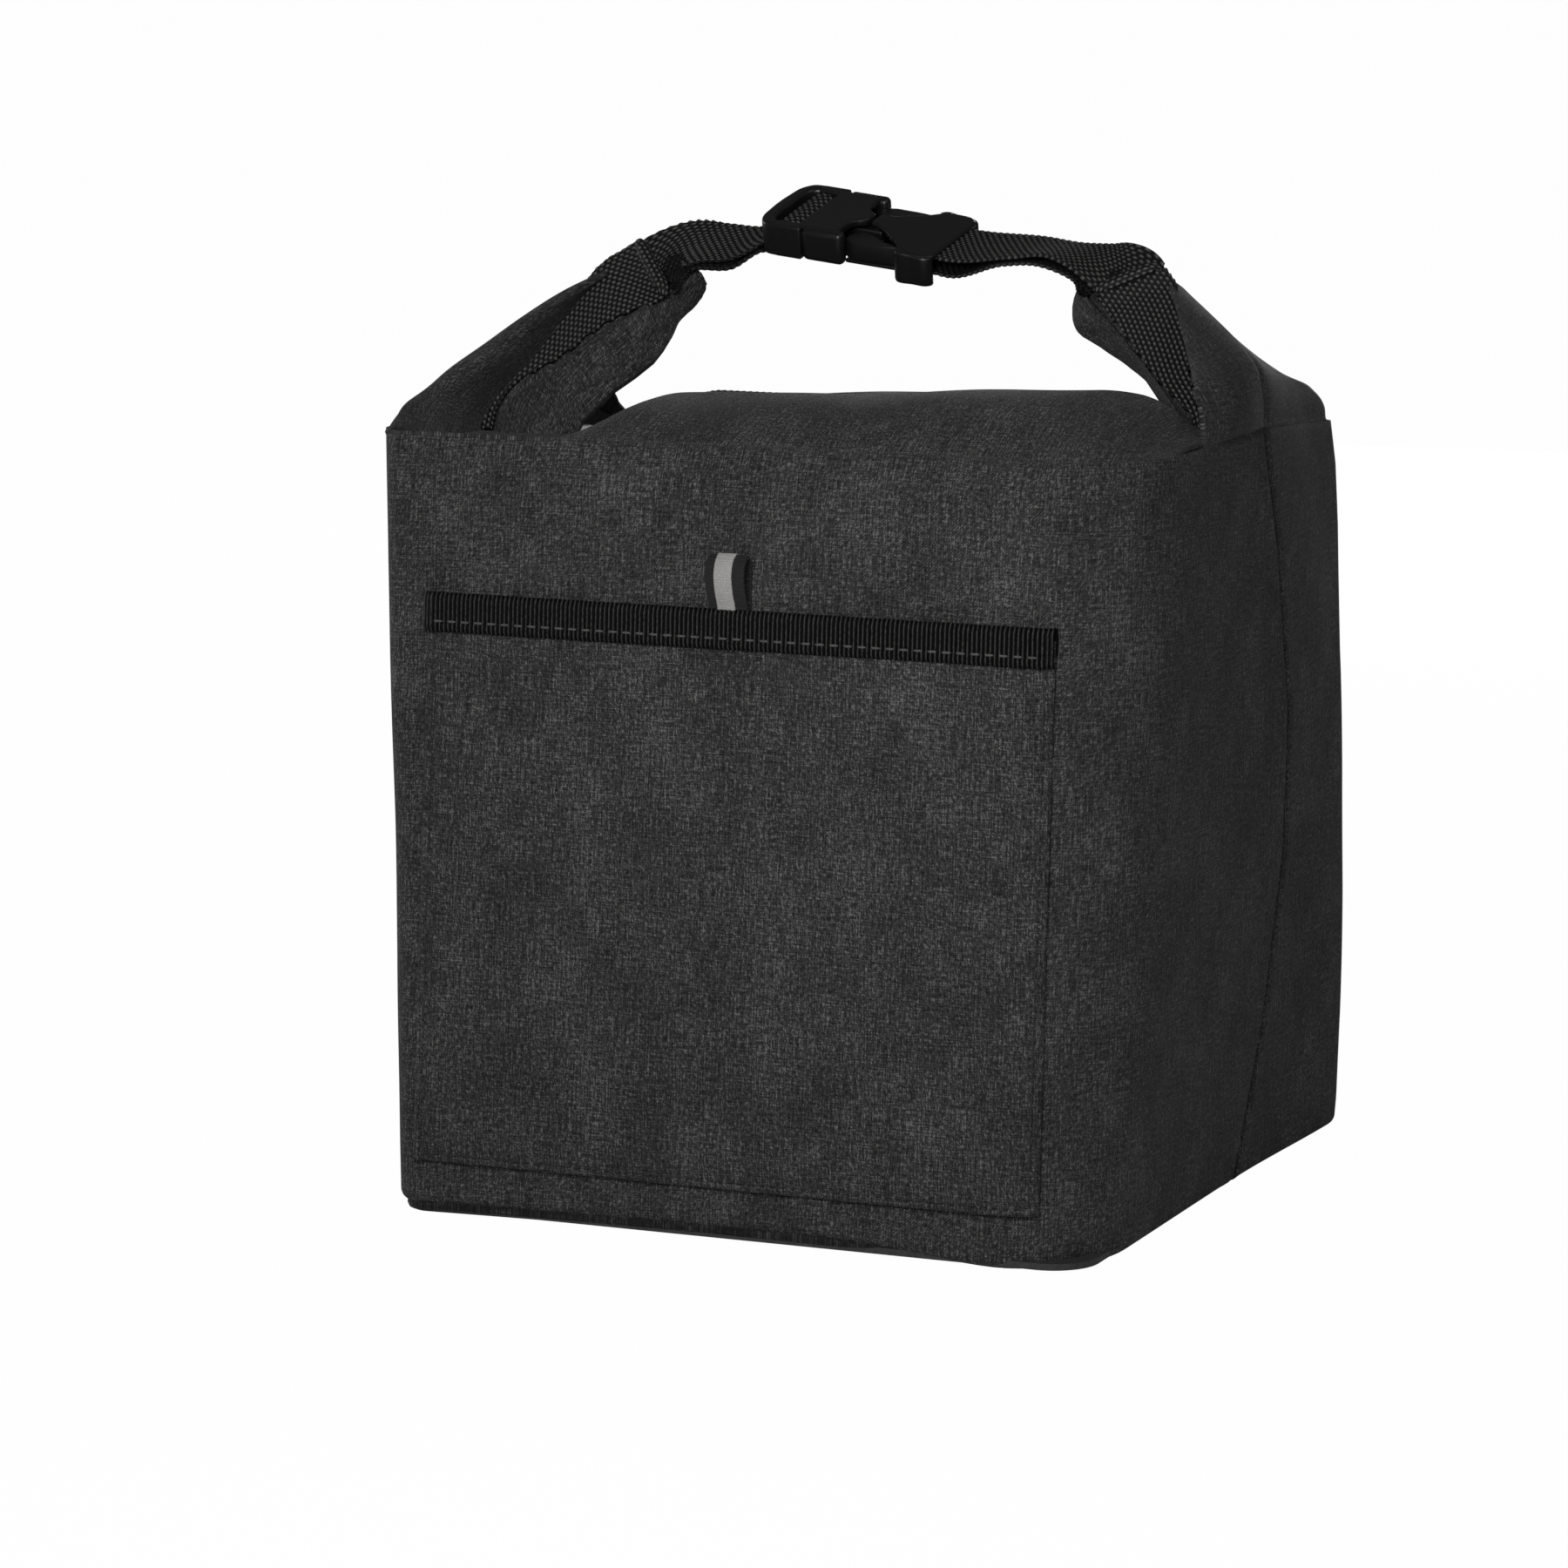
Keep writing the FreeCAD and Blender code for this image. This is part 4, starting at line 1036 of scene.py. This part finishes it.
BUCKLE = np.array([-12.0, 18.0, 294.4])
TURN = (math.radians(-6.0), math.radians(6.0), math.radians(17.0))


def buckle_point(x, y, z):
    """A point of the bag's frame from the buckle's own directions, in mm."""
    return BUCKLE + turned((x, y, z), *TURN)


wide_axis = turned((0, 1, 0), *TURN)
loops = {
    -1: [
        (-33, -4.2), (-29.2, -2.0), (-27.2, 1.6), (-25.2, 4.4), (-22.5, 5.4), (-19.4, 4.2),
        (-18.2, 0.6), (-20.3, -2.3), (-22.9, -3.6), (-27, -5.6), (-33, -6.8),
    ],
    1: [
        (36, 1.6), (31, 1.5), (27, 1.7), (22.9, 1.8), (20.6, 1.1),
        (20.0, -0.4), (20.6, -2.0), (22.9, -3.1), (27, -3.7), (34, -4.4),
    ],
}
upper = {
    -1: [(-73, 8, 287.9, 45.0), (-64, 14, 289.9, 26.0), (-54, 18.5, 290.0, 21.0)],
    1: [(76, 5.5, 286.9, 39.4), (68, 7.5, 290.2, 17.7), (57, 9.5, 292.5, 5.0), (44, 11.5, 292.7, 10.5)],
}
lower = {
    -1: [(-53, 18.0, 287.0, 21.0), (-64, 13.5, 287.4, 26.0)],
    1: [(42, 11, 290.6, 13.4), (54, 9, 290.5, 10.4), (66, 7, 287.4, 14.2)],
}


def leaning(spot):
    """A knot of the strap: its place, and its width direction rolled by the last number in degrees."""
    return (*spot[:3], *turned((0, 1, 0), TURN[0], TURN[1], math.radians(spot[3])))


WEB_HALF = 12.2
for side, word in SIDES:
    low, top = RIDGE[side]
    mid = (low + top) / 2.0
    ridge = in_plane(side * top[0], top[1], 0.0) - in_plane(side * low[0], low[1], 0.0)
    ridge /= np.linalg.norm(ridge)
    knots = [(*in_plane(side * mid[0], mid[1], 2.8), *ridge)]
    knots += [leaning(spot) for spot in upper[side]]
    knots += [(*buckle_point(x, 0.0, z), *wide_axis) for x, z in loops[side]]
    knots += [leaning(spot) for spot in lower[side]]
    knots += [(*in_plane(side * (mid[0] - 2.5), mid[1] + 0.8, 0.9), *ridge)]
    line = line_through(knots, np.linspace(0.0, 1.0, 460))
    wide = line[:, 3:] / np.linalg.norm(line[:, 3:], axis=1, keepdims=True)
    across = np.linspace(-WEB_HALF, WEB_HALF, 54)
    strip = line[:, None, :3] + across[None, :, None] * wide[:, None, :]
    if grid_normals(strip)[90, 27][2] < 0:
        strip = strip[:, ::-1]
    outward = grid_normals(strip)[230, 27]
    strap = cloth(word + "_handle_strap", woven(strip, 0.5), outward, WEB_THICK, plain=strip)
    wear(strap, webbing_yarn, "webbing", None, word + "_strap")
    pivot, lap = in_plane(side * 82.0, 62.0, 0.0), in_plane(side * 68.0, 66.0, 0.0)
    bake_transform(strap)
    print(strap.name, len(strap.data.vertices), "points")

# %% [markdown]
# The side-release buckle: a socket with an open window for its webbing, a plug whose plate narrows
# to a tongue, and two sprung prongs that lie in the bays between them. The CAD solids have the
# working parts, but the moulding in the photograph is rounder all over, so each half is built
# again from slabs with rounded edges, in the buckle's own directions.

# %% Buckle
def slab(outline, low, high, edge):
    """Points and faces of a plate with rounded edges, from its outline in the buckle's plane."""
    shape = bmesh.new()
    rims = [[shape.verts.new((x, y, z)) for x, y in outline] for z in (low, high)]
    shape.faces.new(rims[0][::-1])
    shape.faces.new(rims[1])
    for k in range(len(outline)):
        n = (k + 1) % len(outline)
        shape.faces.new((rims[0][k], rims[0][n], rims[1][n], rims[1][k]))
    shape.normal_update()
    sharp = [e for e in shape.edges if e.calc_face_angle(0.0) > 0.6]
    rounding = dict(offset=edge, segments=4, profile=0.5, affect="EDGES", clamp_overlap=True)
    bmesh.ops.bevel(shape, geom=sharp, **rounding)
    bmesh.ops.recalc_face_normals(shape, faces=shape.faces)
    shape.verts.index_update()
    points = [tuple(v.co) for v in shape.verts]
    faces = [[v.index for v in f.verts] for f in shape.faces]
    shape.free()
    return points, faces


FLAT_FACE = 9e-6  # square metres: larger faces stay flat, the small ones of the round edges are smooth


def moulded(name, slabs, body, node, lift=lambda x: 0.0):
    """One moulding from slabs (outline, low, high, edge); lift says how far its top stands up at x."""
    points, faces = [], []
    for outline, low, high, edge in slabs:
        some_points, some_faces = slab(outline, low, high, edge)
        faces += [[i + len(points) for i in face] for face in some_faces]
        points += some_points
    points = [(x, y, z + lift(x) * float(smooth((z - 1.0) / 2.0))) for x, y, z in points]
    piece = mesh_piece(name, [buckle_point(*p) for p in points], faces)
    for polygon in piece.data.polygons:
        polygon.use_smooth = polygon.area < FLAT_FACE
    wear(piece, buckle_plastic, "buckle_plastic", body, node)
    print(name, len(faces), "faces")
    return piece


def block(x0, x1, y0, y1):
    """Outline of a plain rectangle."""
    return [(x0, y0), (x1, y0), (x1, y1), (x0, y1)]


def mirrored(outline):
    """The same outline on the buckle's other long side."""
    return [(x, -y) for x, y in outline][::-1]


def curved(spots, count):
    """So many spots on a smooth outline through those given."""
    return [(x, y) for x, y, z in flat_line(spots, np.linspace(0.0, 1.0, count))]


mouth_edge = curved([(-2.8, -15.2), (-3.0, -9.9), (-1.9, -5.0), (0.9, -2.9), (1.6, 0.0)], 14)
roof = [(-17.4, 15.2), (-17.4, -15.2)] + mouth_edge + [(x, -y) for x, y in mouth_edge[-2::-1]]
bow = curved([
    (-24.0, -17.3), (-28.4, -16.5), (-31.2, -12.8), (-32.2, -6.0),
    (-32.2, 6.0), (-31.2, 12.8), (-28.4, 16.5), (-24.0, 17.3),
], 30)
bow += curved([
    (-24.0, 13.4), (-26.4, 12.4), (-27.6, 9.0), (-27.8, 0.0), (-27.6, -9.0), (-26.4, -12.4), (-24.0, -13.4),
], 20)
corner_rail = curved([(-24.0, -17.3), (-28.4, -16.5), (-30.8, -13.4)], 8)
near_rail = corner_rail[::-1] + [(-15.3, -17.3), (-15.3, -13.0)]
rails = [(near_rail, -4.6, 4.5, 1.2), (mirrored(near_rail), -4.6, 4.5, 1.2)]
rails += [(block(-14.9, -0.6, near, far), -4.6, 4.5, 1.7) for near, far in ((-17.3, -13.0), (13.0, 17.3))]
end_bar = [(bow, -0.4, 4.7, 1.3)]
cross_bar = [(block(-24.6, -21.2, -14.0, 14.0), -1.7, 1.7, 1.2)]
socket = rails + end_bar + cross_bar + [(roof, 2.4, 4.6, 0.7), (roof, -4.4, -2.9, 0.6)]
moulded("buckle_socket_shell", socket, "left_strap", "buckle_socket", lambda x: 1.6)

waist = curved([
    (30.6, -14.6), (28.4, -16.8), (24.0, -17.0), (19.6, -15.6),
    (15.6, -11.6), (11.3, -7.9), (6.2, -4.4), (2.4, -3.0),
], 30)
plate = waist + [(x, -y) for x, y in waist[::-1]]
tongue = block(-13.0, 6.0, -2.8, 2.8)
lobe = curved([
    (17.0, -15.2), (18.6, -17.2), (24.0, -17.4), (29.5, -16.9), (30.8, -15.0),
    (29.0, -13.2), (24.0, -13.0), (18.6, -13.4), (17.0, -15.2),
], 28)[:-1]
floor_plate = [
    (-1.4, -13.8), (20.0, -13.8), (20.0, 13.8), (-1.4, 13.8),
    (-1.4, 6.4), (2.6, 4.4), (2.6, -4.4), (-1.4, -6.4),
]
plug_bar = block(21.4, 24.4, -14.0, 14.0)
plug = [
    (plate, 2.5, 4.5, 0.9),
    (tongue, -0.8, 2.0, 0.5),
    (lobe, -6.8, 4.2, 2.0),
    (mirrored(lobe), -5.0, 4.2, 1.8),
    (floor_plate, -4.6, -3.2, 0.6),
    (plug_bar, -2.0, 0.9, 1.0),
]
moulded("buckle_plug_shell", plug, "right_strap", "buckle_plug", lambda x: 1.3 - 0.1 * max(x - 4.0, 0.0))

press_pad = curved([
    (19.0, -13.2), (14.3, -14.2), (7.0, -14.7), (0.6, -14.2), (-1.6, -12.4),
    (-1.2, -9.4), (1.6, -6.4), (6.0, -7.4), (11.0, -10.6), (19.0, -13.2),
], 32)[:-1]
for prong, outline in (("front_prong", press_pad), ("rear_prong", mirrored(press_pad))):
    moulded(prong + "_pad", [(outline, -2.8, 3.3, 1.1)], prong, prong)

# %% [markdown]
# The base board is a loose stiff sheet in the bottom of the bag. It could be modelled again, but
# its CAD solid is right as it is, so it only gets its finish.

# %% Base board
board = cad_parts["base_board"]
board.data.materials.clear()
board.data.materials.append(stiff_board)
print("base board finished")

# %% [markdown]
# The front pocket is a flat patch sewn on three sides. It stands a couple of millimetres proud,
# with crisp sewn edges and a little slack, so the patch is a grid laid on the leaning front face.

# %% Front pocket
LEAN = math.atan2(DEEP_LOW - DEEP_TOP, BAG_HIGH)


def on_front(u, v, d):
    """Points on the front face: u across it, v up it and d off it, bent back round its corner."""
    u, v, d = np.broadcast_arrays(np.asarray(u, float), v, d)
    past = np.clip(u - half_width(v) + CORNER, 0.0, 0.9 * CORNER)
    d = d - CORNER + arc(past, CORNER)
    y = -DEEP_LOW + v * math.sin(LEAN) - d * math.cos(LEAN)
    z = v * math.cos(LEAN) + d * math.sin(LEAN)
    return np.stack([u, y, z], axis=-1)


POCKET_LEFT, POCKET_RIGHT, POCKET_LOW, POCKET_HIGH = -107.2, 97.0, 17.0, 188.5
u, v = np.meshgrid(np.linspace(POCKET_LEFT, POCKET_RIGHT, 130), np.linspace(POCKET_LOW, POCKET_HIGH, 110))
edge = np.minimum(np.minimum(u - POCKET_LEFT, POCKET_RIGHT - u), v - POCKET_LOW)
proud = 1.5 + 1.5 * smooth(edge / 9.0) + 0.5 * np.exp(-((edge - 1.2) ** 2) / 0.8)
proud -= 0.45 * np.exp(-((edge - 2.6) ** 2) / 0.5)
slack = 0.45 * np.sin(u / 29.0 + v / 61.0) * np.sin(v / 37.0) + 0.8 * smooth((v - 120.0) / 70.0)
proud += smooth(edge / 20.0) * slack
pocket_grid = on_front(u, v, proud)
pocket = cloth("pocket_cloth", pocket_grid, (0, -1, 0), 1.2)
wear(pocket, shell_cloth, "charcoal_fabric", "bag", "front_pocket")

# %% [markdown]
# The pocket's mouth is bound with grosgrain, a tape with fine ribs across it. Ribs this clear
# catch the light one by one, so they are modelled: a fine grid wraps the edge, lifted rib by rib.

# %% Ribbed binding
def ribbed(points, pitch, lift):
    """Lifts a fine grid into ribs, pitch apart."""
    u, v = grid_lengths(points)
    return points + grid_normals(points) * (lift * np.abs(np.sin(np.pi * u / pitch)) ** 0.7)[..., None]


section = [
    (180.6, 3.3), (180.5, 4.1), (181.0, 4.7), (184.0, 4.9), (188.0, 5.0), (190.6, 5.0),
    (191.8, 4.4), (192.1, 3.4), (191.6, 2.3), (190.0, 1.9), (184.0, 1.8),
]
path = flat_line(section, np.linspace(0, 1, 26))
columns = np.linspace(POCKET_LEFT - 0.2, POCKET_RIGHT + 0.3, 146 * 6)
binding_grid = on_front(columns[None, :], path[:, :1], path[:, 1:2])
ends = np.minimum(columns - columns[0], columns[-1] - columns)
binding_grid[:, :, 1] += (1.2 * (1.0 - smooth(ends / 3.0)))[None, :]
binding_grid = turned_to(binding_grid, (0, -1, 0))
binding = cloth("pocket_tape", ribbed(binding_grid, RIB, 0.42), (0, -1, 0), 0.7, plain=binding_grid)
wear(binding, tape_yarn, "ribbed_tape", "bag", "pocket_binding")
print("binding:", len(binding.data.vertices), "points")

# %% [markdown]
# The ribbon loop stands up behind the binding and is open to the side, with a narrow reflective
# strip woven down its middle. A bent plane would have no ribs, so both are ribbed strips along one
# loop-shaped line, the narrow one just proud of the other.

# %% Ribbon loop and reflective strip
loop_line = [
    (186.0, 3.4), (190.0, 3.2), (193.0, 3.9), (198.0, 6.4), (203.5, 7.6), (207.0, 6.4),
    (208.6, 4.2), (207.6, 2.2), (203.0, 1.2), (196.0, 0.9), (186.0, 0.9),
]
path = flat_line(loop_line, np.linspace(0, 1, 260))


def ribbon(name, left, right, pitch, proud_by, thickness, material, slot, node):
    """A ribbed strip along the loop's line, raised by proud_by off it."""
    columns = np.linspace(left, right, 24)
    grid = on_front(columns[None, :], path[:, :1], path[:, 1:2])
    grid = turned_to(grid, (0, -1, 0)) if proud_by == 0.0 else grid
    normals, middle = grid_normals(grid), len(columns) // 2
    if normals[75, middle][1] > 0:
        grid, normals = grid[:, ::-1], -normals[:, ::-1]
    along = grid_lengths(grid)[1]
    ribs = 0.28 * np.abs(np.sin(np.pi * along / pitch)) ** 0.7
    made = cloth(name, grid + normals * (proud_by + ribs)[..., None], normals[130, middle], thickness)
    return wear(made, material, slot, "bag", node)


ribbon("pocket_loop", -12.8, -0.2, 1.05, 0.0, 0.8, ribbon_yarn, "ribbed_tape", "pull_loop")
ribbon("loop_reflector", -9.7, -4.0, 0.7, 0.35, 0.5, reflector, "reflective_tape", "reflective_strip")
print("loop and reflective strip sewn in")

# %% [markdown]
# Stitches. Each is a short raised dash of thread. Dashes could be painted on, but thread catches
# the light, so a row of them is one mesh of small tapered beads, spaced along a line on the cloth.

# %% Stitch rows
BEAD_ALONG = np.array([-0.5, -0.36, 0.0, 0.36, 0.5])  # a stitch's five rings, in shares of its length
BEAD_FAT, BEAD_RISE = (0.3, 0.85, 1.0, 0.85, 0.3), (-0.3, 0.1, 0.25, 0.1, -0.3)
RING, THREAD_LIFT = 6, 0.15


def stitch_row(name, path, normal, material, slot="charcoal_fabric", pitch=4.5, dash=3.0, width=0.75):
    """A row of thread dashes along a path, as one piece that rides on the bag."""
    path = np.asarray(path, float)
    step = np.linalg.norm(np.diff(path, axis=0), axis=1)
    place = np.concatenate([[0.0], np.cumsum(step)])
    count = int(place[-1] / pitch)
    points, faces = [], []
    for k in range(count):
        ring_at = (k + 0.5) * pitch + BEAD_ALONG * dash
        spots = np.stack([np.interp(ring_at, place, path[:, a]) for a in range(3)], axis=-1)
        ahead = spots[-1] - spots[0]
        ahead /= np.linalg.norm(ahead)
        up = np.asarray(normal, float) / np.linalg.norm(normal)
        sideways = np.cross(ahead, up)
        for spot, fat, rise in zip(spots, BEAD_FAT, BEAD_RISE):
            for turn in np.arange(RING) * math.pi / 3:
                high = THREAD_LIFT + rise * width + 0.35 * width * fat * math.sin(turn)
                points.append(spot + up * high + sideways * (0.5 * width * fat * math.cos(turn)))
        first = k * RING * len(BEAD_FAT)
        last = first + RING * (len(BEAD_FAT) - 1)
        for ring in range(first, last, RING):
            for c in range(RING):
                d = (c + 1) % RING
                faces.append((ring + c, ring + d, ring + RING + d, ring + RING + c))
        faces.append(tuple(first + c for c in reversed(range(RING))))
        faces.append(tuple(last + c for c in range(RING)))
    points = np.array(points)
    row = mesh_piece(name, points, faces, points[:, [0, 2]])
    return wear(row, material, slot, "bag")


out_of_front = on_front(0.0, 0.0, 1.0) - on_front(0.0, 0.0, 0.0)
run = np.linspace(0.0, 1.0, 120)
across_pocket = POCKET_LEFT + 3 + (POCKET_RIGHT - POCKET_LEFT - 6) * run
up_pocket = 20.0 + 160.0 * run
stitch_row("binding_stitches", on_front(across_pocket, 183.6, 5.1), out_of_front, thread, "ribbed_tape")
POCKET_SEAMS = {
    "pocket_left_stitches": (POCKET_LEFT + 2.6, up_pocket),
    "pocket_right_stitches": (POCKET_RIGHT - 2.6, up_pocket),
    "pocket_low_stitches": (across_pocket, 19.6),
}
for name, (u, v) in POCKET_SEAMS.items():
    stitch_row(name, on_front(u, v, 2.2), out_of_front, dark_thread, pitch=3.4, dash=2.4, width=0.6)
print("stitches sewn:", 1 + len(POCKET_SEAMS), "rows")

# %% [markdown]
# Inside, five foam pads keep the food cold and a smooth lining covers them. Plain boxes would
# poke through the rounded corners, so the pads are made from the CAD boards, kept inside the
# shell's plan and softened at their edges; the lining is one tray whose rim turns over them.

# %% Foam pads and lining
def within(points, margin):
    """Keeps points inside the shell's plan, with its four round corners."""
    kept = np.array(points, float)
    wide, deep = half_width(kept[:, 2]), half_depth(kept[:, 2])
    kept[:, 0] = np.clip(kept[:, 0], margin - wide, wide - margin)
    kept[:, 1] = np.clip(kept[:, 1], margin - deep, deep - margin)
    for x_sign, y_sign, radius in ((1, -1, CORNER), (1, 1, 16.0), (-1, 1, 18.0), (-1, -1, INNER_CORNER)):
        dx, dy = x_sign * kept[:, 0] - wide + radius, y_sign * kept[:, 1] - deep + radius
        far = np.where((dx > 0) & (dy > 0), np.hypot(dx, dy), 0.0)
        pull = np.where(far > radius - margin, (radius - margin) / np.maximum(far, 1e-6), 1.0)
        kept[:, 0] = np.where(pull < 1.0, x_sign * (wide - radius + dx * pull), kept[:, 0])
        kept[:, 1] = np.where(pull < 1.0, y_sign * (deep - radius + dy * pull), kept[:, 1])
    return kept


PAD_GAP, WALL_SHARE = 2.6, 0.938  # mm left to the shell, and the share of the boards' height
for name in ("foam_base", "foam_front", "foam_right", "foam_back", "foam_left"):
    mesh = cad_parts[name].data.copy()
    pad = bpy.data.objects.new(name + "_pad", mesh)
    bpy.context.collection.objects.link(pad)
    fine = bmesh.new()
    fine.from_mesh(mesh)
    bmesh.ops.subdivide_edges(fine, edges=fine.edges, cuts=9, use_grid_fill=True)
    fine.to_mesh(mesh)
    fine.free()
    spots = np.zeros(len(mesh.vertices) * 3)
    mesh.vertices.foreach_get("co", spots)
    spots = spots.reshape(-1, 3) * PER_METRE
    if name != "foam_base":
        spots[:, 2] = spots[:, 2].min() + (spots[:, 2] - spots[:, 2].min()) * WALL_SHARE
    spots = settled(within(spots, PAD_GAP)) * MM
    mesh.vertices.foreach_set("co", spots.ravel())
    soft = pad.modifiers.new("soft_edges", "BEVEL")
    soft.width, soft.segments = 0.0012, 2
    soft.limit_method, soft.angle_limit = "ANGLE", math.radians(35)
    finished(pad)
    wear(pad, pad_foam, "foam", "bag", name)

tray = [(228.6, 1.7), (229.0, 3.6), (228.7, 6.6), (227.0, 7.4)]
tray += [(z, 7.4) for z in np.linspace(218.0, 20.0, 26)]
tray += [(12.6, 8.4), (10.2, 11.5), (9.7, 16.0), (9.7, 60.0), (9.7, 98.0)]
liner_grid = stacked_rings(tray)
liner_grid = settled(np.concatenate([liner_grid, liner_grid[:, :1]], axis=1)) * (0.985, 0.985, 1.0)
liner = cloth("lining_tray", liner_grid, (1, 0, 0), LINING_THICK)
wear(liner, lining_film, "lining", "bag", "liner")
